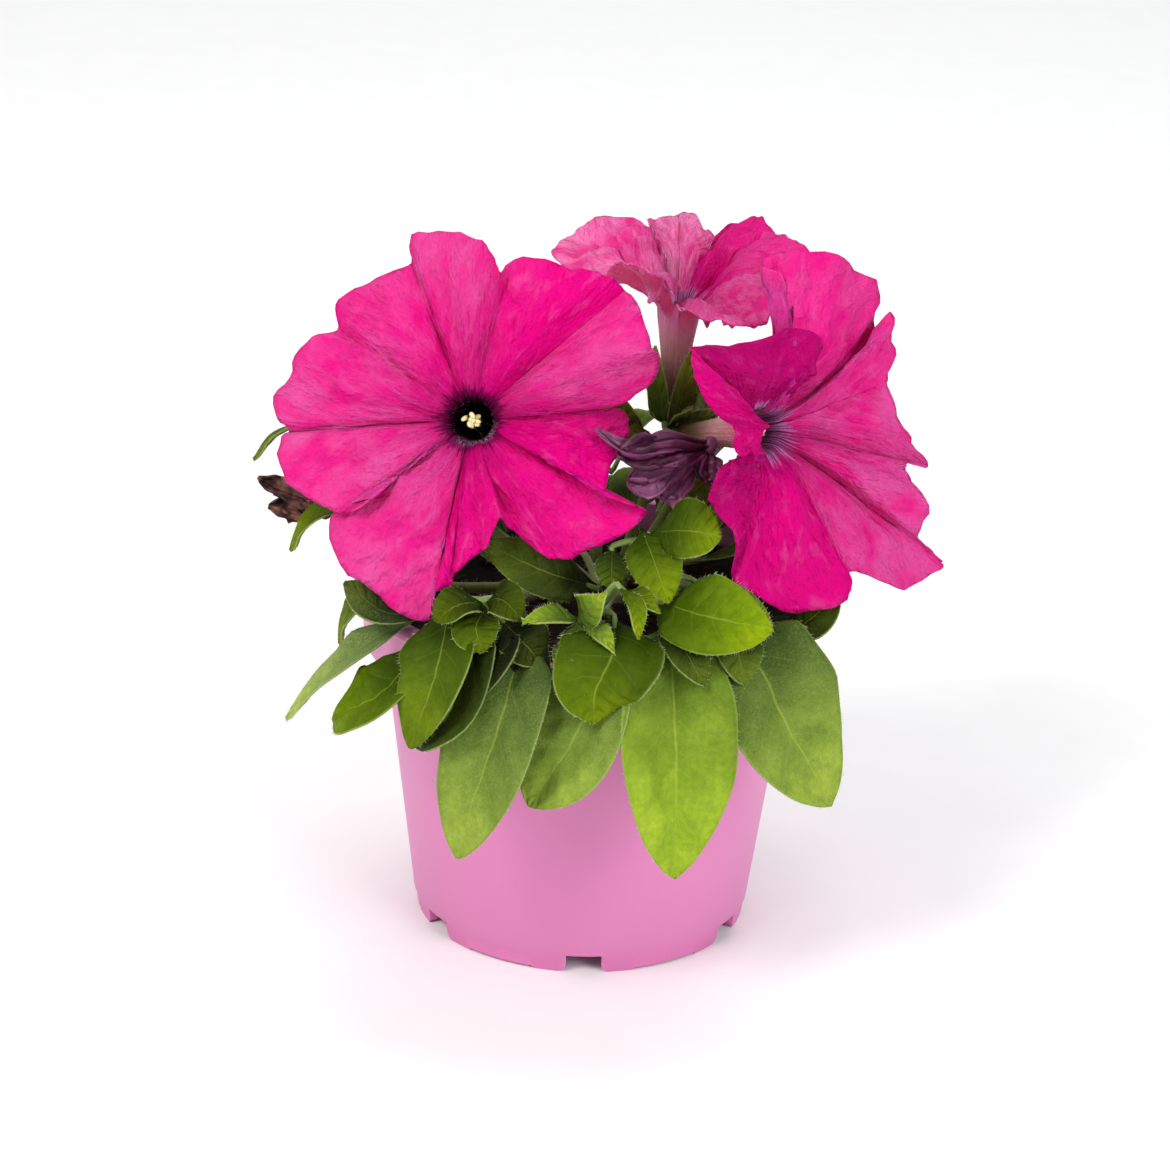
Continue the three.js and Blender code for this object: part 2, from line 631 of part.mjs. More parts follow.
for (const part of shoots) addNode(part.name, toGeometry(shoot(part)), COLOURS.leaf, 0.7);
for (const part of flowerStems) addNode(part.name, toGeometry(flowerStem(part)), COLOURS.leaf, 0.7);
for (const flower of flowers) {
  addNode(`corolla_${flower.name}`, toGeometry(corolla(flower)), COLOURS.petal, 0.6);
  addNode(`stamens_${flower.name}`, toGeometry(stamens(flower)), COLOURS.anther, 0.7);
}
addNode('wilted_flower', toGeometry(spentFlower(wilted)), COLOURS.wilted, 0.8);
addNode('dried_flower', toGeometry(spentFlower(dried)), COLOURS.dried, 0.9);
addNode('pot', pot(), COLOURS.pot, 0.45);
addNode('soil', soil([...shoots, ...flowerStems]), COLOURS.soil, 0.95);

export default group;
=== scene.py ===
import math
import random

import bmesh
import bpy
from mathutils import Matrix, Vector, noise
from mathutils.geometry import intersect_point_line


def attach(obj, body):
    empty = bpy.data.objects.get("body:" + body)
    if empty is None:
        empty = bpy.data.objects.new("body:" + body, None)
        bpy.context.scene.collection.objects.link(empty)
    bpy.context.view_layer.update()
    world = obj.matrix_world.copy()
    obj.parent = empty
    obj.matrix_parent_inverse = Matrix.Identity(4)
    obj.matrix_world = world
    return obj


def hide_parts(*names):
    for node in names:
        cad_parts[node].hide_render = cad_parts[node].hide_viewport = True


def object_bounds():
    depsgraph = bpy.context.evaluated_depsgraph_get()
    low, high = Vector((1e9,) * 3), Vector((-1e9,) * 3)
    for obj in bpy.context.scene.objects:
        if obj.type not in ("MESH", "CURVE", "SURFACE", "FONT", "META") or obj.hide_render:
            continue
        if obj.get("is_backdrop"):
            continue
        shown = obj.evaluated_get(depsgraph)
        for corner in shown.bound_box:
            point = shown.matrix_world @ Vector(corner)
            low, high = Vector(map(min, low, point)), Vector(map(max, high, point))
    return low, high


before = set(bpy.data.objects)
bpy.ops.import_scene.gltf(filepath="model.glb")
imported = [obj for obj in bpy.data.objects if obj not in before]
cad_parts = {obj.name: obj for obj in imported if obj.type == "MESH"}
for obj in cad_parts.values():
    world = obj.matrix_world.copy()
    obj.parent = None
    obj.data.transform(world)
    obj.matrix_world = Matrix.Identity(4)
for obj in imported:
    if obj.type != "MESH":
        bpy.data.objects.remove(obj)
cad_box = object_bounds()

# Table, daylight and camera
# The plant stands on a plain pale table in soft daylight: a wide window and a low pane on the
# left, a weaker window on the right and a skylight behind. The camera looks down on it from a
# step away, with a long lens.

MM = 0.001
AIM = Vector((-1.3, 0, 88.6)) * MM
DISTANCE = 1.0
ELEVATION = math.radians(22.25)
ROLL = math.radians(1.88)
SENSOR = 36
LENS = 120.8
NEAREST = 0.05
SKY_STRENGTH = 0.5
TABLE_WIDTH = 8.0

back = Vector((0, -math.cos(ELEVATION), math.sin(ELEVATION)))
right = Vector((1, 0, 0))
upright = back.cross(right)
across = right * math.cos(ROLL) + upright * math.sin(ROLL)
upward = upright * math.cos(ROLL) - right * math.sin(ROLL)
camera = bpy.data.objects.new("camera", bpy.data.cameras.new("camera"))
camera.data.sensor_width = SENSOR
camera.data.lens = LENS
camera.data.clip_start = NEAREST
camera.matrix_world = Matrix.Translation(AIM + back * DISTANCE) @ Matrix(
    (across, upward, back)).transposed().to_4x4()
bpy.context.scene.collection.objects.link(camera)
bpy.context.scene.camera = camera
bpy.context.scene.view_settings.view_transform = "Standard"


def window_light(name, place, width, watts, colour):
    """A square of soft light at a place, turned towards the plant."""
    lamp = bpy.data.lights.new(name, "AREA")
    lamp.size = width
    lamp.energy = watts
    lamp.color = colour
    light = bpy.data.objects.new(name, lamp)
    light.location = place
    light.rotation_euler = (Vector(place) - AIM).to_track_quat("Z", "Y").to_euler()
    bpy.context.scene.collection.objects.link(light)


window_light("window_left", (-1.1, -1.2, 1.6), 0.7, 28, (1, 0.98, 0.95))
window_light("window_right", (1.2, -1.2, 0.9), 1.0, 21, (0.96, 0.98, 1))
window_light("window_low", (-1.5, -0.6, 0.3), 1.2, 5.5, (1, 0.99, 0.98))
window_light("skylight", (0.2, 0.8, 1.8), 1.2, 14, (1, 1, 1))

sky = bpy.data.worlds.new("sky")
sky.use_nodes = True
sky.node_tree.nodes["Background"].inputs["Color"].default_value = (0.98, 0.99, 1, 1)
sky.node_tree.nodes["Background"].inputs["Strength"].default_value = SKY_STRENGTH
bpy.context.scene.world = sky


def material(name, **sockets):
    """A new material with these values on its shader, its node tree and its shader node."""
    made = bpy.data.materials.new(name)
    made.use_nodes = True
    shader = made.node_tree.nodes["Principled BSDF"]
    for socket, value in sockets.items():
        shader.inputs[socket.replace("_", " ")].default_value = value
    return made, made.node_tree, shader


def node(tree, kind, inputs=None, out=0, **settings):
    """One output of a new node. Its inputs are values, or the outputs of other nodes."""
    made = tree.nodes.new("ShaderNode" + kind)
    for key, value in settings.items():
        setattr(made, key, value)
    for key, value in (inputs or {}).items():
        if isinstance(value, bpy.types.NodeSocket):
            tree.links.new(value, made.inputs[key])
        else:
            made.inputs[key].default_value = value
    return made.outputs[out]


def reckon(tree, operation, a, b=0.0):
    return node(tree, "Math", {0: a, 1: b}, operation=operation)


def times(tree, a, b):
    return reckon(tree, "MULTIPLY", a, b)


def plus(tree, a, b, *more):
    """The sum of all the numbers."""
    total = reckon(tree, "ADD", a, b)
    return plus(tree, total, *more) if more else total


def minus(tree, a, b):
    return reckon(tree, "SUBTRACT", a, b)


def apart(tree, a, b):
    """How far two numbers are from each other."""
    return reckon(tree, "ABSOLUTE", minus(tree, a, b))


def tint(tree, share, under, over, how="MIX"):
    """The colour under, with the colour over mixed in by a share."""
    return node(tree, "Mix", {0: share, 6: under, 7: over}, out=2, data_type="RGBA",
                blend_type=how)


def ease(tree, value, start, end):
    """0 up to start, 1 from end, and smooth between them. A start above the end falls instead."""
    ends = {3: 0.0, 4: 1.0} if start < end else {3: 1.0, 4: 0.0}
    return node(tree, "MapRange", {0: value, 1: min(start, end), 2: max(start, end), **ends},
                interpolation_type="SMOOTHSTEP")


def mottle(tree, where, scale, detail, stretch=(1, 1, 1)):
    """Cloudy noise, from 0 to 1, drawn out along some directions."""
    placed = node(tree, "Mapping", {"Vector": where, "Scale": stretch})
    return node(tree, "TexNoise", {"Vector": placed, "Scale": scale, "Detail": detail})


def relief(tree, shader, height, depth):
    """Bumps of a depth in metres, from a height of 0 to 1."""
    bump = node(tree, "Bump", {"Height": height, "Distance": depth, "Strength": 1.0})
    tree.links.new(bump, shader.inputs["Normal"])


def painted(tree, shader, colour):
    tree.links.new(colour, shader.inputs["Base Color"])


def own_place(tree):
    return node(tree, "TexCoord", out="Object")


def mottled(name, scale, detail, dark, light, depth=0, stretch=(1, 1, 1), **sockets):
    """A material with a cloudy mix of two colours, raised by a depth where it is light."""
    made, tree, shader = material(name, **sockets)
    cloud = mottle(tree, own_place(tree), scale, detail, stretch)
    painted(tree, shader, tint(tree, cloud, (*dark, 1), (*light, 1)))
    if depth:
        relief(tree, shader, cloud, depth)
    return made


def thing(name, bm, *materials):
    """The bmesh as an object in the scene."""
    mesh = bpy.data.meshes.new(name)
    bm.to_mesh(mesh)
    bm.free()
    for skin in materials:
        mesh.materials.append(skin)
    made = bpy.data.objects.new(name, mesh)
    bpy.context.scene.collection.objects.link(made)
    return made


def piece(name, bm, *materials):
    """The bmesh as a smooth-shaded piece of the plant or its pot, on the frame's only body."""
    made = thing(name, bm, *materials)
    made.data.shade_smooth()
    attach(made, "root")
    return made


bm = bmesh.new()
bmesh.ops.create_grid(bm, x_segments=1, y_segments=1, size=TABLE_WIDTH / 2)
table_white = mottled("table_white", 60, 3, (0.86, 0.86, 0.86), (0.9, 0.9, 0.9), Roughness=0.6)
table = thing("table", bm, table_white)
table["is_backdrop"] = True

# Pot
# A thin pink plastic nursery pot, injection moulded in one piece. Its collar and flat lip
# stiffen the rim, and six notches in its foot ring let water out and hold it in a tray.

LIP_RADIUS = 60 * MM
POT_HEIGHT = 91 * MM
LIP_HEIGHT = 3.6 * MM
FOOT_RADIUS = 42.6 * MM
FLOOR_HEIGHT = 6 * MM
COLLAR_BOTTOM = 74.2 * MM
COLLAR_RADIUS = 57.4 * MM
WALL_TAPER = 0.133
WALL = 1.5 * MM
NOTCHES = 6
NOTCH_TURN = 2
NOTCH_WIDTH = 9 * MM
NOTCH_HEIGHT = 5 * MM
NOTCH_ROUNDING = 2.2 * MM
VENT_WIDTH = 18 * MM
VENT_HEIGHT = 0.7 * MM
VENT_ROUNDING = 0.3 * MM
CUT_DEPTH = 7.4 * MM
EDGE_ROUNDING = 0.25 * MM
POT_STEPS = 144


def wall_radius(height):
    """The radius of the tapered wall's outside at a height."""
    return FOOT_RADIUS + WALL_TAPER * height


def turned(bm, profile, steps):
    """The solid that a profile of radii and heights makes when it turns round the pot's axis."""
    line = [bm.verts.new((radius, 0, height)) for radius, height in profile]
    edges = [bm.edges.new(pair) for pair in zip(line, line[1:])]
    bmesh.ops.spin(bm, geom=[*line, *edges], cent=(0, 0, 0), axis=(0, 0, 1), dvec=(0, 0, 0),
                   angle=2 * math.pi, steps=steps, use_merge=True)
    bmesh.ops.remove_doubles(bm, verts=bm.verts, dist=0.01 * MM)
    bmesh.ops.recalc_face_normals(bm, faces=bm.faces)


lip_bottom = POT_HEIGHT - LIP_HEIGHT
bm = bmesh.new()
turned(bm, [
    (0, FLOOR_HEIGHT), (FOOT_RADIUS - 2.8 * MM, FLOOR_HEIGHT), (FOOT_RADIUS - 2.2 * MM, 0),
    (FOOT_RADIUS - 0.3 * MM, 0), (FOOT_RADIUS, 0.3 * MM),
    (wall_radius(4.8 * MM), 4.8 * MM), (wall_radius(5.2 * MM) + 0.4 * MM, 5.2 * MM),
    (wall_radius(COLLAR_BOTTOM), COLLAR_BOTTOM),
    (COLLAR_RADIUS - 0.3 * MM, COLLAR_BOTTOM + 0.5 * MM),
    (COLLAR_RADIUS, COLLAR_BOTTOM + 1.1 * MM), (COLLAR_RADIUS + 0.7 * MM, lip_bottom),
    (LIP_RADIUS - 0.4 * MM, lip_bottom + 0.2 * MM), (LIP_RADIUS, lip_bottom + 0.8 * MM),
    (LIP_RADIUS, POT_HEIGHT - 0.6 * MM), (LIP_RADIUS - 0.5 * MM, POT_HEIGHT - 0.1 * MM),
    (COLLAR_RADIUS - 0.9 * MM, POT_HEIGHT), (COLLAR_RADIUS - WALL, POT_HEIGHT - 0.5 * MM),
    (COLLAR_RADIUS - WALL, COLLAR_BOTTOM + 3 * MM),
    (wall_radius(COLLAR_BOTTOM) - WALL, COLLAR_BOTTOM),
    (wall_radius(FLOOR_HEIGHT) - WALL, FLOOR_HEIGHT + WALL), (0, FLOOR_HEIGHT + WALL),
], POT_STEPS)

pot_pink, tree, shader = material("pot_pink", Roughness=0.42, Specular_IOR_Level=0.4)
place = own_place(tree)
flow = mottle(tree, place, 22, 4, (1, 1, 0.35))
height = node(tree, "SeparateXYZ", {"Vector": place}, out="Z")
moulded = tint(tree, flow, (0.63, 0.185, 0.41, 1), (0.69, 0.225, 0.46, 1))
foot = ease(tree, height, 9 * MM, 0.0)
painted(tree, shader, tint(tree, times(tree, foot, 0.35), moulded, (0.60, 0.10, 0.34, 1)))
grain = mottle(tree, place, 900, 2)
relief(tree, shader, plus(tree, times(tree, grain, 0.3), flow), 0.06 * MM)
tree.links.new(node(tree, "MapRange", {0: flow, 3: 0.38, 4: 0.5}), shader.inputs["Roughness"])

pot = piece("pot_shell", bm, pot_pink)


def foot_cut(bm, turn, width, height, rounding):
    """A block that cuts the foot ring at a compass turn. It flares at the table, so that the feet
    on both sides of it have rounded corners."""
    half, low = width / 2, -1 * MM
    quarter = [math.pi / 2 * step / 4 for step in range(5)]
    flare = [(half + rounding * (1 - math.cos(a)), rounding * (1 - math.sin(a))) for a in quarter]
    corners = [(half, height), *flare, (half + rounding, low)]
    corners += [(-x, z) for x, z in reversed(corners)]
    ring = [bm.verts.new((x, -FOOT_RADIUS - 3 * MM, z)) for x, z in corners]
    pushed = bmesh.ops.extrude_face_region(bm, geom=[bm.faces.new(ring)])["geom"]
    moved = [v for v in pushed if isinstance(v, bmesh.types.BMVert)]
    bmesh.ops.translate(bm, verts=moved, vec=(0, CUT_DEPTH, 0))
    bmesh.ops.rotate(bm, verts=[*ring, *moved], cent=(0, 0, 0),
                     matrix=Matrix.Rotation(math.radians(turn), 3, "Z"))


bm = bmesh.new()
spacing = 360 / NOTCHES
for order in range(NOTCHES):
    turn = NOTCH_TURN + order * spacing
    foot_cut(bm, turn, NOTCH_WIDTH, NOTCH_HEIGHT, NOTCH_ROUNDING)
    foot_cut(bm, turn + spacing / 2, VENT_WIDTH, VENT_HEIGHT, VENT_ROUNDING)
bmesh.ops.recalc_face_normals(bm, faces=bm.faces)
cutter = thing("foot_cutter", bm)
notched = pot.modifiers.new("notched", "BOOLEAN")
notched.operation = "DIFFERENCE"
notched.object = cutter
cut_pot = pot.evaluated_get(bpy.context.evaluated_depsgraph_get())
pot.data = bpy.data.meshes.new_from_object(cut_pot)
pot.modifiers.clear()
bpy.data.objects.remove(cutter)
softened = pot.modifiers.new("softened", "BEVEL")
softened.width = EDGE_ROUNDING
softened.segments = 2
softened.limit_method = "ANGLE"
softened.angle_limit = math.radians(50)
pot.data.shade_smooth()
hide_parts("pot")

# Soil
# Dark peat compost that fills the pot to just under its lip. Its top is loose, with crumbs and
# bits of bark lying on it among the stems.

SOIL_LEVEL = 86 * MM
SOIL_DROP = 2 * MM
SOIL_GAP = 0.35 * MM
WALL_GAP = 0.9 * MM
COLLAR_GAP = 1.6 * MM
LUMP = 1.2
FINE_LUMP = 0.7
SOIL_RINGS = 22
SOIL_STEPS = 96
CRUMBS = 512
CRUMB_SIZES = (0.4, 1.5)
CRUMB_STRETCHES = (1, 1.2, 2.6)
LOOSE_SEED = 5
ROW_STEP = 10


def soil_top(share):
    """How high the compost stands at a share of the way out. It drops towards the wall."""
    return SOIL_LEVEL - SOIL_DROP * share ** 3


inner_radius = COLLAR_RADIUS - WALL - COLLAR_GAP
bottom = FLOOR_HEIGHT + WALL + SOIL_GAP
bm = bmesh.new()
top_rings = [(inner_radius * out, soil_top(out))
             for out in (1 - ring / SOIL_RINGS for ring in range(1, SOIL_RINGS))]
turned(bm, [
    (0, bottom), (wall_radius(bottom) - WALL - WALL_GAP, bottom),
    (wall_radius(COLLAR_BOTTOM) - WALL - WALL_GAP, COLLAR_BOTTOM - 2 * MM),
    (inner_radius, SOIL_LEVEL - 4 * MM), *top_rings, (0, SOIL_LEVEL),
], SOIL_STEPS)
for vert in bm.verts:
    if vert.co.z > SOIL_LEVEL - 3 * MM:
        lump = noise.noise(vert.co * 70) * LUMP + noise.noise(vert.co * 260) * FINE_LUMP
        vert.co.z += lump * MM

peat, tree, shader = material("peat", Roughness=0.95, Specular_IOR_Level=0.15)
place = own_place(tree)
crumb = mottle(tree, place, 350, 6)
fleck = node(tree, "TexVoronoi", {"Vector": place, "Scale": 500.0}, out="Color")
patches = tint(tree, crumb, (0.003, 0.002, 0.0015, 1), (0.018, 0.012, 0.008, 1))
painted(tree, shader, tint(tree, 0.25, patches, fleck, "MULTIPLY"))
relief(tree, shader, crumb, 0.9 * MM)

soil = piece("soil_fill", bm, peat)
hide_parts("soil")


def row_of(bm, count):
    """Copies of what the bmesh holds, doubled until there are enough, in a row along X."""
    made = 1
    while made < count:
        copy = bmesh.ops.duplicate(bm, geom=[*bm.verts, *bm.edges, *bm.faces])
        moved = [v for v in copy["geom"] if isinstance(v, bmesh.types.BMVert)]
        bmesh.ops.translate(bm, verts=moved, vec=(made * ROW_STEP, 0, 0))
        made *= 2


def planted(bm, places):
    """Puts each copy of a row at its own place, and drops the copies that are left over."""
    spare = []
    for vert in bm.verts:
        order = round(vert.co.x / ROW_STEP)
        if order < len(places):
            local = Vector((vert.co.x - order * ROW_STEP, vert.co.y, vert.co.z))
            vert.co = places[order] @ local
        else:
            spare.append(vert)
    bmesh.ops.delete(bm, geom=spare, context="VERTS")


bm = bmesh.new()
bmesh.ops.create_icosphere(bm, subdivisions=1, radius=1)
row_of(bm, CRUMBS)
loose = random.Random(LOOSE_SEED)
crumb_places = []
for order in range(CRUMBS):
    angle = loose.uniform(0, 2 * math.pi)
    radius = inner_radius * 0.97 * math.sqrt(loose.random())
    size = loose.uniform(*CRUMB_SIZES) * MM
    long = loose.choice(CRUMB_STRETCHES)
    level = soil_top(radius / inner_radius)
    turn = Matrix.Rotation(loose.uniform(0, 6), 4, "Z") @ Matrix.Rotation(
        loose.uniform(-0.5, 0.5), 4, "X")
    crumb_places.append(
        Matrix.Translation((radius * math.cos(angle), radius * math.sin(angle), level))
        @ turn @ Matrix.Diagonal((size * long, size, size * 0.7, 1)))
planted(bm, crumb_places)
bark = mottled("bark", 260, 4, (0.006, 0.004, 0.003), (0.05, 0.03, 0.017), 0.4 * MM,
               Roughness=0.9, Specular_IOR_Level=0.2)
crumbs = piece("soil_crumbs", bm, bark)

# Leafy shoots
# Soft green stems that stand in the soil and lean out over the lip, with pointed oval leaves on
# short stalks. Each leaf is a thin sheet, sunk along its midrib and side veins.

STEM_RADIUS = 1.8 * MM
STEM_TAPER = 0.35
STALK_RADIUS = 0.9 * MM
LEAF_THICKNESS = 0.45 * MM
FOOT_END = 74
FRONT = (0, -1, 0.8)
PLAIN_SHADE = (0.5, 0.3, 0.2, 1)
SIDE_VEINS = 7
VEIN_SLANT = 0.16
BROAD_LEAF = 19
BROAD_GRID = (18, 34)
NARROW_GRID = (12, 20)

# A leaf's forms, as shares of half its width
RUFFLE = 0.09
GROOVE = 0.05
QUILTING = 0.06
DIMPLES = 0.13

# How many hairs a leaf has, along a millimetre of its length and on a square millimetre, and
# how long they are beside a stem's
EDGE_HAIRS = 2.2
FACE_HAIRS = 0.03
EDGE_HAIR_SIZE = 0.75
FACE_HAIR_SIZE = 0.25

# Each hair's root, the way it points and its size, for the hairs at the end
hair_roots = []


def point(place):
    return Vector(place) * MM


def smooth(points):
    """The smooth curve through the points: its place and direction at a share of its length."""
    whole = [points[0] * 2 - points[1], *points, points[-1] * 2 - points[-2]]
    spans = len(points) - 1

    def at(share):
        along = min(max(share, 0), 1) * spans
        span = min(int(along), spans - 1)
        s = along - span
        a, b, c, d = whole[span:span + 4]
        return (b * 2 + (c - a) * s + (a * 2 - b * 5 + c * 4 - d) * s ** 2
                + (b * 3 - a - c * 3 + d) * s ** 3) / 2

    def heading(share):
        step = 0.0001
        return (at(min(share + step, 1)) - at(max(share - step, 0))).normalized()

    return at, heading


def leaf_outline(share, belly, tip):
    """Half the width of a leaf at a share of its length, as a share of its half width. The
    higher tip is, the more slender its ends."""
    share = min(max(share, 0), 1)
    swell = max(math.sin(math.pi * share ** (math.log(0.5) / math.log(belly))), 0) ** tip
    return swell * min(1, 0.25 + 2.4 * share)


def shade_layer(bm):
    """Where each point of the bmesh keeps the four numbers that its material reads."""
    layers = bm.verts.layers.float_color
    return layers.get("shade") or layers.new("shade")


def sheet(bm, columns, rows, place, shade, thickness=0, closed=False):
    """A thin sheet whose points are given by place(u, v), with a UV map and a shade attribute.
    Its underside, where it has one, takes the piece's second material."""
    bm.loops.layers.uv.verify()
    layer = shade_layer(bm)
    older = set(bm.faces)
    grid = bmesh.ops.create_grid(bm, x_segments=columns, y_segments=rows, size=0.5,
                                 calc_uvs=True)["verts"]
    for vert in grid:
        u, v = vert.co.x + 0.5, vert.co.y + 0.5
        vert.co = place(u, v)
        vert[layer] = shade(u, v) if callable(shade) else shade
    if closed:
        bmesh.ops.remove_doubles(bm, verts=grid, dist=0.001 * MM)
    front = [face for face in bm.faces if face not in older]
    for face in front:
        face.normal_update()
        face.material_index = 0
    if not thickness:
        return
    bmesh.ops.solidify(bm, geom=front, thickness=thickness)
    older.update(front)
    for face in bm.faces:
        if face not in older:
            face.material_index = 1


def tube(bm, path, radius, columns, rows, slot, hairy=0):
    """A round stem along a smooth path. radius is a number, or a function of the share along it.
    hairy is how many hairs grow on it."""
    layer = shade_layer(bm)
    width = radius if callable(radius) else lambda share: radius
    at, heading = smooth(path)
    aside = heading(0).orthogonal().normalized()
    rings = []
    for row in range(rows + 1):
        along = heading(row / rows)
        aside = (aside - along * aside.dot(along)).normalized()
        rings.append((at(row / rows), aside, along.cross(aside), width(row / rows)))
    older = set(bm.faces)
    ring = bmesh.ops.create_circle(bm, segments=columns, radius=1, cap_ends=True)["verts"]
    rim = list(dict.fromkeys(edge for vert in ring for edge in vert.link_edges))
    loops = [ring]
    for row in range(rows):
        pushed = bmesh.ops.extrude_edge_only(bm, edges=rim)["geom"]
        rim = [e for e in pushed if isinstance(e, bmesh.types.BMEdge)]
        loops.append([v for v in pushed if isinstance(v, bmesh.types.BMVert)])
    bmesh.ops.edgeloop_fill(bm, edges=rim)
    for verts, (centre, first, second, size) in zip(loops, rings):
        for vert in verts:
            vert.co = centre + (first * vert.co.x + second * vert.co.y) * size
            vert[layer] = PLAIN_SHADE
    made = [face for face in bm.faces if face not in older]
    bmesh.ops.recalc_face_normals(bm, faces=made)
    for face in made:
        face.material_index = slot
    for order in range(hairy):
        share = loose.uniform(0.02, 0.98)
        centre, first, second, size = rings[int(share * rows)]
        turn = loose.uniform(0, 2 * math.pi)
        out = first * math.cos(turn) + second * math.sin(turn)
        hair_roots.append((at(share) + out * size * 0.9, out, 1.0))


def leaf_form(rib, width, faces=None, belly=0.5, cup=0.22, wave=0.5, sunken=1.0, tip=0.7):
    """The place of each point of a leaf: across it from 0 to 1, and from its root to its tip."""
    at, heading = smooth([point(p) for p in rib])
    middle = at(0.6)
    outward = Vector((middle.x, middle.y, 0)).normalized() * 0.5 + Vector((0, 0, 0.87))
    facing = Vector(faces).normalized() if faces else outward
    seed = rib[0][0] + rib[-1][1]

    def place(u, v):
        v = 1 - (1 - v) ** 1.4
        along = heading(v)
        normal = (facing - along * facing.dot(along)).normalized()
        side = along.cross(normal)
        reach = 2 * u - 1
        half = max(0.4, width / 2 * leaf_outline(v, belly, tip)) * MM
        lift = half * cup * abs(reach) + wave * MM * reach ** 2 * math.sin(7 * v + 2 * reach)
        ruffle = noise.noise(Vector((seed, v * 5, reach * 1.3))) * RUFFLE * half * reach ** 2
        groove = -GROOVE * half * math.exp(-(reach / 0.14) ** 2)
        beat = (v - VEIN_SLANT * abs(reach)) * SIDE_VEINS % 1
        puff = math.sin(math.pi * beat) * (1 - reach ** 4)
        dent = noise.noise(Vector((seed, v * 3, reach * 2)))
        dimple = QUILTING * half * puff + DIMPLES * half * dent
        shape = normal * (lift + ruffle * 1.5 + sunken * (groove + dimple))
        return at(v) + side * (reach * half + ruffle * 0.6 * (1 if reach > 0 else -1)) + shape

    return place


def leaf(bm, rib, width, shade=PLAIN_SHADE[:3], hair=1.0, **form):
    """A leaf on its midrib, with its hairs. shade is how bright, how yellow and how grey it is;
    the brightness is partly the leaf's own tone and partly painted shade.
    """
    place = leaf_form(rib, width, **form)
    columns, rows = BROAD_GRID if width > BROAD_LEAF else NARROW_GRID
    sheet(bm, columns, rows, place, (*shade, 1), LEAF_THICKNESS)
    length = (point(rib[-1]) - point(rib[0])).length
    for order in range(int(hair * length / MM * EDGE_HAIRS)):
        v = loose.uniform(0.04, 1)
        u = loose.choice((0, 1))
        root = place(u, v)
        out = (root - place(0.5, max(v - 0.06, 0))).normalized()
        hair_roots.append((root, out, EDGE_HAIR_SIZE))
    for order in range(int(hair * length * width / MM * FACE_HAIRS)):
        u, v = loose.uniform(0.06, 0.94), loose.uniform(0.05, 0.97)
        root, tip = place(u, v), place(u, min(v + 0.02, 1))
        side = place(min(u + 0.02, 1), v)
        normal = (side - root).cross(tip - root).normalized()
        lean = (tip - root).normalized() * 0.8
        hair_roots.append((root, (normal + lean).normalized(), FACE_HAIR_SIZE))


def stalk(bm, path, rib):
    """A leaf's stalk, from the nearest point of the stem to the leaf's own root."""
    root = point(rib[0])
    at = smooth(path)[0]
    near = min((at(step / 40) for step in range(8, 41)), key=lambda p: (p - root).length)
    if (near - root).length > STEM_RADIUS:
        inside = smooth([point(p) for p in rib])[0](0.12)
        bend = near.lerp(root, 0.5) + Vector((0, 0, 0.6 * MM))
        tube(bm, [near, bend, root, inside], lambda share: STALK_RADIUS * (1.15 - 0.5 * share),
             8, 8, slot=2, hairy=16)


def shoot(bm, path, leaves, twigs=(), branches=()):
    """A stem with its leaves, its thin side twigs and its side branches."""
    path = [point(p) for p in path]
    tube(bm, path, lambda share: STEM_RADIUS * (1 - STEM_TAPER * share), 14, 30, slot=2,
         hairy=150)
    for twig in twigs:
        tube(bm, [point(p) for p in twig], STALK_RADIUS, 10, 16, slot=2, hairy=90)
    for one in leaves:
        leaf(bm, **one)
        stalk(bm, path, one["rib"])
    for branch in branches:
        shoot(bm, **branch)


star_leaf = dict(belly=0.38, tip=1.2, shade=(0.75, 0.45, 0.3), hair=2.0)

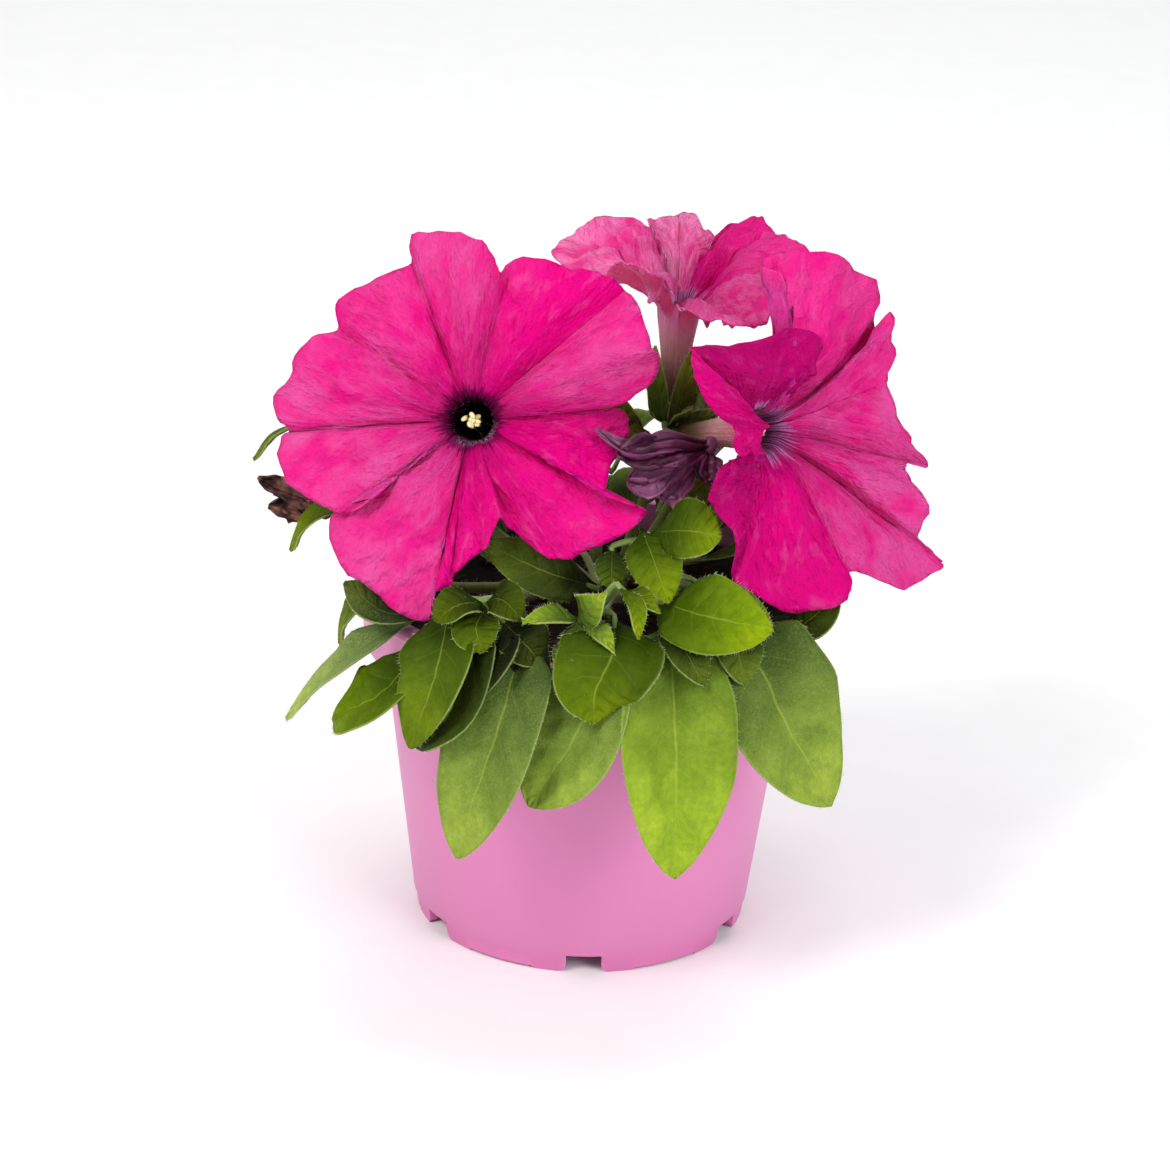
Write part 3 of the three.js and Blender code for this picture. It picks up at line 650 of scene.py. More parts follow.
front_shoots = {
    "shoot_front_left": dict(
        path=[(-9, -10, FOOT_END), (-9, -10, 87), (-9, -11, 92), (-17, -30, 97), (-25, -45, 102),
              (-25, -53, 105)],
        leaves=[
            dict(rib=[(-34, -46, 102), (-36, -63, 92), (-42, -67, 72)], width=19,
                 shade=(0.36, 0.1, 0.05)),
            dict(rib=[(-35, -45, 94), (-50, -56, 82), (-62, -50, 71)], width=21,
                 belly=0.6, shade=(0.42, 0.1, 0.0)),
            dict(rib=[(-40, -35, 95), (-58, -43, 86), (-75, -30, 62)], width=12,
                 shade=(0.85, 0.0, 1.0), hair=2.0),
            dict(rib=[(-38, -39, 95), (-50, -44, 98), (-60, -41, 104)], width=11,
                 shade=(0.16, 0.0, 0.4)),
            dict(rib=[(-26, -46, 96), (-28, -58, 95), (-33, -64, 81), (-41, -62, 70)], width=18,
                 belly=0.6, shade=(0.13, 0.05, 0.1)),
            dict(rib=[(-16, -46, 96), (-18, -62, 89), (-24, -70, 69), (-30, -71, 45)], width=25,
                 belly=0.55, shade=(0.62, 0.05, 0.6)),
            dict(rib=[(-25, -53, 104), (-31, -57, 106), (-37, -59, 102)], width=11,
                 shade=(0.16, 0.4, 0.0)),
            dict(rib=[(-25, -53, 105), (-21, -56, 107), (-16, -59, 103)], width=10,
                 shade=(0.16, 0.4, 0.0)),
            dict(rib=[(-25, -54, 104), (-27, -60, 101), (-25, -63, 96)], width=12,
                 shade=(0.28, 0.35, 0.0)),
            # These three leaves are painted nearly black, as painted shade in the deep gap under
            # the leaves above them, where they hide the pot's lip.
            dict(rib=[(-22, -46, 96), (-24, -60, 94), (-30, -65, 83)], width=15,
                 shade=(0.03, 0.0, 0.1)),
            dict(rib=[(-19, -46, 96), (-16, -58, 93), (-14, -60, 84)], width=14,
                 shade=(0.03, 0.0, 0.1)),
            dict(rib=[(-22, -46, 98), (-16, -57, 97), (-11, -60, 92)], width=13,
                 shade=(0.08, 0.0, 0.1)),
        ]),
    "shoot_front": dict(
        path=[(14, -9, FOOT_END), (14, -9, 87), (14, -12, 92), (18, -28, 97), (16, -42, 106),
              (13, -43, 120)],
        leaves=[
            dict(rib=[(18, -44, 97), (20, -60, 95), (22, -70, 73), (23, -72, 42)], width=29,
                 belly=0.63, shade=(0.84, 0.25, 0.3)),
            dict(rib=[(12, -42, 121), (15, -50, 116), (19, -55, 107)], width=13, faces=FRONT,
                 shade=(0.42, 0.3, 0.0)),
            dict(rib=[(14, -42, 120), (23, -50, 124), (31, -51, 123)], width=15, faces=FRONT,
                 shade=(0.4, 0.3, 0.0)),
            dict(rib=[(5, -44, 117), (5, -48, 113), (5, -50, 108)], width=8, faces=FRONT,
                 shade=(0.22, 0.2, 0.1)),
            dict(rib=[(15, -46, 104), (28, -62, 107), (44, -62, 104)], width=20, faces=FRONT,
                 shade=(0.6, 0.35, 0.0)),
            dict(rib=[(24, -46, 110), (35, -56, 107), (44, -58, 103)], width=10, faces=FRONT,
                 shade=(0.36, 0.3, 0.15)),
            dict(rib=[(18, -46, 99), (23, -62, 98), (28, -67, 91)], width=11,
                 shade=(0.2, 0.1, 0.2)),
            dict(rib=[(34, -45, 98), (36, -58, 96), (38, -61, 89)], width=12,
                 shade=(0.3, 0.2, 0.2)),
        ],
        branches=[dict(
            path=[(14, -9, 89), (6, -20, 94), (4, -34, 98), (3, -48, 102), (-3, -57, 102)],
            leaves=[
                dict(rib=[(6, -46, 97), (4, -61, 95), (-3, -68, 76), (-13, -70, 59)], width=25,
                     belly=0.66, faces=(-0.2, -0.8, 0.9), shade=(0.72, 0.1, 0.6)),
                dict(rib=[(6, -50, 101), (6, -64, 98), (2, -70, 90), (2, -72, 82)], width=26,
                     belly=0.42, tip=0.9, shade=(0.36, 0.25, 0.0)),
                dict(rib=[(-2, -47, 97), (1, -61, 94), (8, -66, 79)], width=19,
                     shade=(0.35, 0.1, 0.6)),
                dict(rib=[(6, -56, 112), (11, -62, 109), (12, -66, 102)], width=4,
                     shade=(0.6, 1.0, 0.0)),
                dict(rib=[(7, -54, 110), (12, -59, 110), (17, -61, 107)], width=5,
                     shade=(0.45, 0.8, 0.0)),
                dict(rib=[(-3, -57, 103), (-9, -61, 105), (-16, -62, 104)], width=7, cup=0.5,
                     **star_leaf),
                dict(rib=[(-3, -57, 103), (0, -60, 107), (4, -61, 112)], width=9, faces=FRONT,
                     **star_leaf),
                dict(rib=[(-3, -57, 103), (-2, -63, 99), (0, -67, 93)], width=9, faces=FRONT,
                     **star_leaf),
                dict(rib=[(-2, -57, 103), (3, -63, 102), (7, -65, 97)], width=5, **star_leaf),
            ])]),
    "shoot_right": dict(
        path=[(20, 0, FOOT_END), (20, 0, 87), (21, -3, 91), (28, -16, 94), (32, -26, 95)],
        leaves=[
            dict(rib=[(31, -30, 96), (39, -50, 94), (49, -56, 76), (61, -55, 55)], width=32,
                 belly=0.55, faces=(0.35, -0.8, 0.6), shade=(0.62, 0.1, 0.55)),
            dict(rib=[(39, -26, 93), (51, -33, 93), (62, -28, 100)], width=13,
                 shade=(0.1, 0.3, 0.0)),
        ]),
    "shoot_left": dict(
        path=[(-17, -8, FOOT_END), (-17, -8, 87), (-19, -10, 91), (-32, -20, 95), (-42, -26, 98)],
        leaves=[
            dict(rib=[(-49, -26, 97), (-58, -30, 93), (-62, -28, 82)], width=10,
                 shade=(0.4, 0.4, 0.2)),
            dict(rib=[(-55, -15, 113), (-68, -20, 113), (-75, -19, 103)], width=12,
                 shade=(0.35, 0.5, 0.0)),
        ],
        twigs=[[(-42, -26, 98), (-52, -14, 104), (-64, -8, 109)]]),
}


BACK_TURNS = [12, 50, 86, 122, 157, 186]


def back_shoot(turn, order):
    """A shoot that fills the pot behind the flowers, at a compass turn from the right."""

    def at(radius, height, aside=0):
        angle = math.radians(turn + aside)
        return (radius * math.cos(angle), radius * math.sin(angle), height)

    def sway(k):
        return math.sin(2.4 * (order + 1) * k)

    path = [at(17, FOOT_END), at(17, 87), at(19, 92), at(28, 99), at(36, 110), at(38, 122)]
    leaves = [
        dict(rib=[at(24, 95, -8), at(46, 101, -15), at(60, 97 + sway(1), -22)], width=17),
        dict(rib=[at(29, 100, 4), at(46, 108 + 2 * sway(2), 13), at(58, 104, 20)], width=16),
        dict(rib=[at(34, 107, -4), at(46, 118 + 2 * sway(3), -12), at(56, 115, -19)], width=14),
        dict(rib=[at(37, 116), at(49, 125, 7), at(57, 121 + 2 * sway(4), 13)], width=12),
        dict(rib=[at(38, 121), at(38, 132, -10), at(34, 139, -19)], width=8, faces=at(1, 0.4)),
    ]
    if 30 < turn < 150:
        leaves.append(dict(rib=[at(26, 97), at(61, 96), at(73, 80), at(76, 54 + 6 * sway(5))],
                           width=25, belly=0.6))
    if order == len(BACK_TURNS) - 1:
        leaves[1] = dict(rib=[(-58, 2, 131), (-77, 1, 128), (-86, 2, 119)], width=5)
    for count, one in enumerate(leaves):
        one["shade"] = (0.45 + 0.2 * sway(count + 1), 0.3 + 0.15 * sway(count + 3), 0.3)
    return dict(path=path, leaves=leaves)


shoots = dict(front_shoots)
for order, turn in enumerate(BACK_TURNS):
    shoots[f"shoot_back_{order + 1}"] = back_shoot(turn, order)


def own_shade(tree):
    """The three numbers of the shade attribute, each by itself."""
    attribute = node(tree, "Attribute", out="Color", attribute_name="shade")
    parts = node(tree, "SeparateColor", {"Color": attribute})
    return [parts.node.outputs[name] for name in ("Red", "Green", "Blue")]


def own_uv(tree):
    """The two numbers of the UV map: how far across or round a piece, and how far along it."""
    parts = node(tree, "SeparateXYZ", {"Vector": node(tree, "TexCoord", out="UV")})
    return parts, parts.node.outputs["Y"]


def leaf_material(name, under):
    """Matt green skin with pale veins. The underside is paler, and its veins stand out more."""
    made, tree, shader = material(name, Roughness=0.55, Specular_IOR_Level=0.05)
    bright, yellow, grey = own_shade(tree)
    place = own_place(tree)
    u, v = own_uv(tree)
    cloud = mottle(tree, place, 90, 4)
    speck = mottle(tree, place, 2200, 2)
    grain = mottle(tree, place, 700, 4)
    off = times(tree, apart(tree, u, 0.5), 2)
    hue = tint(tree, grey, (0.28, 0.44, 0.002, 1), (0.32, 0.42, 0.09, 1))
    hue = tint(tree, times(tree, yellow, 0.5), hue, (0.42, 0.50, 0.008, 1))
    # A leaf's brightness is partly its own tone and partly painted shade: a leaf that lies in
    # shadow under others has a low brightness and is painted darker.
    green = tint(tree, bright, (0.004, 0.007, 0.002, 1), hue)
    patchy = times(tree, ease(tree, cloud, 0.38, 0.66), 0.5)
    green = tint(tree, patchy, green, (0.40, 0.52, 0.3, 1), "MULTIPLY")
    # Painted light and shade along the leaf: it is lighter towards its tip, as painted light, and
    # darker towards its base, as painted shadow from the leaves above it.
    sunny = times(tree, ease(tree, v, 0.35, 0.95), 0.6)
    green = tint(tree, sunny, green, (1.7, 1.55, 1.2, 1), "MULTIPLY")
    base = times(tree, ease(tree, v, 0.75, 0.1), 0.88)
    green = tint(tree, base, green, (0.16, 0.24, 0.22, 1), "MULTIPLY")
    downed = times(tree, ease(tree, grain, 0.3, 0.7), 0.4)
    green = tint(tree, downed, green, (0.55, 0.6, 0.5, 1), "MULTIPLY")
    run = minus(tree, v, times(tree, off, VEIN_SLANT))
    wander = times(tree, minus(tree, cloud, 0.5), 0.05)
    beat = reckon(tree, "FRACT", times(tree, plus(tree, run, wander), SIDE_VEINS))
    from_vein = apart(tree, beat, 0.5)
    quilted = times(tree, ease(tree, from_vein, 0.15, 0.48), ease(tree, off, 0.0, 0.25))
    # Beside the side veins, away from the midrib, the leaf is painted a little darker, as painted
    # shade in the grooves of the veins.
    green = tint(tree, times(tree, quilted, 0.14), green, (0.5, 0.58, 0.5, 1), "MULTIPLY")
    side_vein = times(tree, ease(tree, from_vein, 0.45, 0.495), ease(tree, off, 0.9, 0.3))
    midrib = times(tree, ease(tree, off, 0.04, 0.005), ease(tree, v, 1.0, 0.5))
    veins = reckon(tree, "MAXIMUM", times(tree, side_vein, 0.25), midrib)
    pale = (0.45, 0.55, 0.22, 1) if under else (0.50, 0.60, 0.07, 1)
    green = tint(tree, times(tree, veins, 0.22), green, pale)
    edge = times(tree, ease(tree, off, 0.95, 1.0), times(tree, cloud, 0.4))
    green = tint(tree, edge, green, (0.42, 0.54, 0.12, 1))
    bloom = times(tree, ease(tree, speck, 0.35, 0.7), times(tree, grey, 0.12))
    green = tint(tree, bloom, green, (0.55, 0.66, 0.40, 1))
    if under:
        green = tint(tree, 0.3, green, (0.34, 0.44, 0.16, 1))
    painted(tree, shader, green)
    height = plus(tree, times(tree, veins, 0.8 if under else -0.2), times(tree, speck, 0.25),
                  cloud, times(tree, quilted, -0.35))
    relief(tree, shader, height, 0.8 * MM)
    return made


leaf_top = leaf_material("leaf_top", False)
leaf_under = leaf_material("leaf_under", True)

stem_green = mottled("stem_green", 240, 4, (0.09, 0.16, 0.02), (0.25, 0.36, 0.07), 0.15 * MM,
                     stretch=(1, 1, 0.25), Roughness=0.6, Specular_IOR_Level=0.3,
                     Sheen_Weight=0.3, Sheen_Roughness=0.5, Subsurface_Weight=0.1,
                     Subsurface_Radius=(0.001, 0.002, 0.0005))

for name, parts in shoots.items():
    bm = bmesh.new()
    shoot(bm, **parts)
    leafy = piece(name + "_leaves", bm, leaf_top, leaf_under, stem_green)
    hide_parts(name)

# Flower stems
# Two soft, sticky stems with their own leaves. Each flower grows out of a calyx, a small green
# cup with five long sepals. The right stem forks to two flowers.

PETALS = 5
NECK_RADIUS = 1.5 * MM
CALYX_RADIUS = 2.4 * MM

# The closed line of each flower's margin runs against the clock. Its folds are the points where
# the line crosses a seam, a midrib, a seam and so on. Its tones are painted sheen and painted
# shade for each half petal: above 0 it is washed paler, as painted sheen, and below 0 darker, as
# painted shade. melt is how far they run into each other across a seam. eye is how far the
# throat is painted near black, partly its own dark purple and partly painted shade in the deep
# tube.
# Its creases are lines of points, each a place on the margin and a share of the way out to it,
# with their height in millimetres.
flowers = {
    "left": dict(
        throat=(-30, -35, 145), faces=(-0.05, -0.93, 0.37), foot=(-27, -4, 131),
        sepals=dict(length=16, width=5, spread=9, turn=0), eye=1.0, melt=0.5,
        folds=[0, 6, 10, 16, 22, 29, 34.5, 40.5, 47, 55],
        tones=[0.8, 0.4, 0.8, 1.0, 0.8, 0.05, 0.1, 0.0, 0.75, 0.0],
        puffs=[1.0, 1.2, 1.2, 1.0, 1.2, 0.8, 0.8, 1.0, 1.4, 0.8],
        creases=[([(9.2, 0.84), (10.2, 0.78), (10.6, 0.56)], 2.2),
                 ([(11.2, 0.88), (11.6, 0.7), (11.4, 0.5)], -1.6),
                 ([(8.8, 0.7), (8.5, 0.42), (9.2, 0.26)], 1.4),
                 ([(13.6, 0.8), (12.8, 0.55)], 1.2),
                 ([(19.9, 0.58), (23.5, 0.79)], -1.6), ([(26, 0.95), (27, 0.5)], 1.4),
                 ([(51.9, 0.5), (48, 0.68)], 1.6), ([(44, 0.9), (42.5, 0.55)], 1.5),
                 ([(37, 0.9), (36.4, 0.5)], 1.4), ([(2.2, 0.9), (2.8, 0.5)], 1.3)],
        margin=[
            (-24, -24, 179), (-26, -23, 183), (-29, -22, 186), (-34, -20, 187), (-39, -18, 187),
            (-46, -16, 185), (-46, -19, 179), (-52, -20, 176), (-59, -20, 172), (-64, -21, 168),
            (-63, -26, 164), (-69, -27, 162), (-73, -28, 157), (-74, -29, 152), (-78, -28, 147),
            (-77, -31, 142), (-74, -33, 140), (-76, -32, 138), (-76, -34, 131), (-72, -37, 126),
            (-63, -42, 123), (-58, -44, 124), (-54, -44, 127), (-63, -39, 121), (-63, -42, 115),
            (-59, -45, 108), (-53, -47, 105), (-47, -49, 100), (-39, -49, 98), (-38, -49, 105),
            (-34, -49, 107), (-33, -48, 110), (-28, -46, 114), (-25, -46, 117), (-22, -46, 124),
            (-19, -44, 120), (-11, -47, 115), (-6, -46, 114), (-2, -46, 116), (7, -45, 120),
            (13, -42, 125), (7, -46, 129), (3, -45, 131), (4, -38, 135), (7, -33, 138),
            (8, -32, 142), (7, -31, 147), (0, -34, 148), (6, -35, 150), (11, -33, 153),
            (14, -32, 156), (15, -29, 160), (13, -29, 163), (11, -26, 168), (9, -23, 172),
            (6, -22, 175), (3, -21, 177), (-1, -21, 179), (-7, -20, 179), (-13, -19, 181),
            (-21, -20, 181),
        ]),
    "right": dict(
        throat=(41, -35, 145), faces=(0.66, -0.7, 0.27), foot=(21, -5, 132),
        sepals=dict(length=12, width=5, spread=7, turn=30), eye=0.0, melt=0.0,
        folds=[11.5, 16, 20, 24, 28, 34, 39.5, 46.5, 55, 62],
        tones=[0.8, 0.9, 0.9, 0.6, 0.5, 0.5, -0.75, -0.2, -0.7, -0.1],
        puffs=[1.0, 1.0, 0.8, 1.0, 1.0, 1.0, 0.6, 2.4, 0.8, 1.0],
        creases=[([(8.8, 0.22), (9.5, 0.43), (8.2, 0.78)], 2.2),
                 ([(14.1, 0.19), (14.5, 0.49), (12.6, 0.9)], 1.8),
                 ([(18, 0.4), (17.4, 0.95)], 1.4), ([(21.6, 0.5), (22.4, 0.95)], 1.2),
                 ([(24.6, 0.56), (27.4, 1.0)], -1.6), ([(31, 0.9), (32, 0.4)], 1.4),
                 ([(4.4, 0.9), (5, 0.4)], 1.6), ([(58, 0.8), (57, 0.45)], 1.2)],
        margin=[
            (35, -46, 141), (29, -52, 141), (27, -55, 136), (28, -55, 132), (32, -52, 126),
            (33, -52, 117), (34, -52, 112), (37, -47, 108), (43, -44, 103), (50, -39, 99),
            (59, -32, 98), (63, -28, 101), (64, -28, 106), (69, -22, 102), (78, -14, 96),
            (84, -6, 96), (88, 0, 98), (82, -7, 107), (82, -7, 116), (79, -8, 123),
            (78, -7, 127), (85, 5, 122), (79, 0, 130), (75, -3, 137), (72, -3, 147),
            (73, 0, 156), (73, 0, 164), (71, -4, 163), (69, -4, 158), (69, 0, 164),
            (67, 2, 170), (62, -1, 175), (56, -5, 180), (49, -9, 182), (43, -11, 182),
            (39, -15, 180), (43, -15, 177), (46, -17, 172), (47, -22, 166), (51, -23, 156),
            (54, -23, 160), (54, -24, 164), (51, -25, 167), (45, -28, 168), (38, -36, 168),
            (31, -44, 169), (24, -51, 171), (21, -55, 171), (21, -57, 167), (23, -57, 162),
            (25, -55, 157), (29, -52, 153), (32, -49, 150), (33, -50, 145), (37, -46, 141),
            (41, -40, 138),
        ]),
    "top": dict(
        throat=(20, 12, 161), faces=(0.05, -0.1, 1), foot=(19, 5, 134),
        sepals=dict(length=17, width=7, spread=8, turn=10), eye=0.0, melt=0.0,
        folds=[0.5, 4, 7.5, 11.5, 15.2, 17.4, 19.7, 22.5, 25, 28],
        tones=[1.1, 1.1, 0.6, 0.2, 1.3, 1.4, 1.2, 1.3, 1.3, 1.2],
        puffs=[1.2, 1.2, 1.4, 1.4, 0.9, 0.9, 1.4, 1.4, 1.2, 1.2],
        creases=[([(18.9, 0.96), (20.4, 0.48), (17.3, 0.18)], -3.0),
                 ([(15.3, 1.0), (14.2, 0.6), (10.9, 0.2)], -3.0),
                 ([(9.9, 1.0), (10.7, 0.79), (12, 0.55)], 2.4),
                 ([(17, 0.9), (17.4, 0.4)], 1.6), ([(27.3, 1.0), (24.5, 0.8), (22, 0.56)], 2.4),
                 ([(4.6, 0.95), (7.1, 0.48)], 1.6), ([(23, 0.9), (24, 0.4)], -1.8)],
        margin=[
            (19, 0, 164), (22, -9, 165), (27, -15, 164), (33, -18, 164), (38, -16, 163),
            (41, -13, 163), (43, -5, 168), (47, 5, 169), (52, 13, 170), (53, 21, 171),
            (50, 29, 172), (47, 35, 172), (42, 41, 172), (39, 45, 173), (34, 45, 171),
            (30, 40, 170), (27, 47, 169), (22, 53, 171), (16, 53, 171), (12, 49, 170),
            (12, 42, 170), (5, 44, 172), (-3, 38, 172), (-10, 28, 170), (-13, 18, 168),
            (-7, 8, 167), (0, 2, 169), (2, -3, 173), (6, -8, 176), (12, -11, 176),
            (16, -8, 172),
        ]),
}


def tube_length(flower):
    """The length of a flower's tube in millimetres."""
    return (point(flower["throat"]) - point(flower["foot"])).length / MM


def tube_frame(flower):
    """A point in millimetres at a distance along a flower's tube, out from it and round it."""
    start = Vector(flower["foot"])
    along = (Vector(flower["throat"]) - start).normalized()
    aside = Vector((0, 1, 0)).cross(along).normalized()
    above = along.cross(aside)

    def at(distance, radius, turn):
        angle = math.radians(turn)
        out = aside * math.cos(angle) + above * math.sin(angle)
        return start + along * distance + out * radius

    return at


def knob(bm, centre, radius, slot, stretch=1.0, along=Vector((0, 0, 1))):
    """A round body, drawn out along one direction."""
    layer = shade_layer(bm)
    turn = along.to_track_quat("Z", "Y").to_matrix().to_4x4()
    grow = Matrix.Diagonal((radius, radius, radius * stretch, 1))
    older = set(bm.faces)
    ball = bmesh.ops.create_uvsphere(bm, u_segments=16, v_segments=10, radius=1,
                                     matrix=Matrix.Translation(centre) @ turn @ grow)
    for vert in ball["verts"]:
        vert[layer] = PLAIN_SHADE
    for face in bm.faces:
        if face not in older:
            face.material_index = slot


def calyx(bm, flower):
    """The green cup that a flower's tube stands in, with its five sepals."""
    at = tube_frame(flower)
    sepals = flower["sepals"]
    length, spread = sepals["length"], sepals["spread"]
    knob(bm, at(-2.6, 0, 0) * MM, CALYX_RADIUS, 2, stretch=1.25,
         along=at(1, 0, 0) - at(0, 0, 0))
    for order in range(PETALS):
        turn = sepals["turn"] + order * 360 / PETALS
        rib = [at(-3, 0.8, turn), at(-0.5, 3.2, turn), at(0.45 * length, 5.6, turn),
               at(length, spread, turn)]
        leaf(bm, rib, sepals["width"], faces=at(0, 1, turn) - at(0, 0, turn), wave=0.2,
             shade=(0.5, 0.3, 0.35), hair=2.0)


flower_stems = {
    "flower_stem_left": dict(
        carries=["left"],
        path=[(-7, 6, FOOT_END), (-7, 6, 87), (-8, 7, 96), (-11, 10, 108), (-21, 6, 124)],
        leaves=[
            dict(rib=[(2, -32, 101), (-11, -42, 109), (-26, -40, 115)], width=14, faces=FRONT,
                 shade=(0.2, 0.2, 0.2)),
            dict(rib=[(-9, 8, 102), (-19, 13, 110), (-27, 14, 108)], width=13),
        ],
        twigs=[[(-9, 7, 98), (-2, -14, 103), (2, -32, 101)]]),
    "flower_stem_right": dict(
        carries=["top", "right"],
        path=[(8, 8, FOOT_END), (8, 8, 87), (9, 8, 95), (12, 9, 106), (17, 4, 122)],
        leaves=[
            dict(rib=[(12, 0, 124), (7, -4, 134), (4, -6, 144)], width=9, faces=(-0.3, -1, 0.3)),
            dict(rib=[(18, -4, 127), (12, -9, 132), (7, -11, 132)], width=8),
            dict(rib=[(30, -18, 117), (25, -24, 127), (20, -24, 134)], width=10, faces=FRONT,
                 shade=(0.75, 0.5, 0.1)),
            dict(rib=[(13, 9, 108), (23, 15, 113), (31, 17, 110)], width=13),
        ],
        twigs=[[(17, 4, 120), (20, -10, 123), (24, -21, 132), (26, -26, 137)],
               [(16, 5, 118), (25, -8, 116), (30, -18, 117)]]),
}

for name, parts in flower_stems.items():
    bm = bmesh.new()
    shoot(bm, parts["path"], parts["leaves"], twigs=parts["twigs"])
    for carried in parts["carries"]:
        at = tube_frame(flowers[carried])
        neck = [point(parts["path"][-1]), at(-5, 0, 0) * MM, at(-2.6, 0, 0) * MM]
        tube(bm, neck, NECK_RADIUS, 14, 16, slot=2, hairy=70)
        calyx(bm, flowers[carried])
    leafy = piece(name + "_leaves", bm, leaf_top, leaf_under, stem_green)
    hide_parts(name)

# Corollas
# Each open flower is one thin funnel of five petals joined edge to edge. It has a narrow tube,
# a dark eye in its throat, and a broad, creased limb with a wavy margin. In the left flower the
# eye is painted near black, partly its own dark purple and partly painted shade in the deep tube.

PETAL = 0.4 * MM
TUBE_SHARE = 0.26
TUBE_FOOT = 2 * MM
TUBE_MOUTH = 5.2 * MM
TUBE_HAIRS = 260
AROUND = 260
ALONG = 46
SMOOTHINGS = 6
SOFTENING = 0.022
MARGIN_STEP = 5
LIMB_LENGTH = 42
CREASE_WIDTH = 1.8

# How far the forms of a petal rise from it, and how ragged its margin is, in millimetres
PUFF = 2.6
LAP = 0.8
WAVE = 2.6
FRILL = 1.1
WRINKLE = 1.1
PUCKER = 3.0
RAGGED = 0.7
FINE_RAGGED = 0.45


def even_turns(rim, centre, aside, above):
    """The turn round the throat of each point of the margin, evened out so it never runs back."""
    turns = []
    for place in rim:
        turn = math.atan2((place - centre).dot(above), (place - centre).dot(aside))
        if turns:
            turn -= 2 * math.pi * round((turn - turns[-1]) / (2 * math.pi))
        turns.append(turn)
    step = 2 * math.pi / len(rim)
    even = [turn - step * order for order, turn in enumerate(turns)]
    for _ in range(SMOOTHINGS):
        even = [(before + 2 * turn + after) / 4
                for before, turn, after in zip(even[-1:] + even, even, even[1:] + even[:1])]
    return [turn + step * order for order, turn in enumerate(even)]


def loop_at(points, position):
    """A smooth closed line through the points, at a position counted in points."""
    count = len(points)
    order = math.floor(position)
    f = position - order
    a, b, c, d = (points[(order + k) % count] for k in (-1, 0, 1, 2))
    return 0.5 * (2 * b + (c - a) * f + (2 * a - 5 * b + 4 * c - d) * f ** 2
                  + (3 * b - 3 * c + d - a) * f ** 3)


def ramp(value, start, end):
    """0 up to start, 1 from end, and smooth between them."""
    share = min(max((value - start) / (end - start), 0), 1)
    return share * share * (3 - 2 * share)


def tube_radius(share):
    """The radius of a flower's tube at a share of its length."""
    return TUBE_FOOT + (TUBE_MOUTH - TUBE_FOOT) * share ** 1.5


def distance_to(line):
    """How far the origin of a plane is from a line of points on it."""
    gaps = []
    for first, last in zip(line, line[1:]):
        along = min(max(intersect_point_line((0, 0), first, last)[1], 0), 1)
        gaps.append(first.lerp(last, along).length)
    return min(gaps)


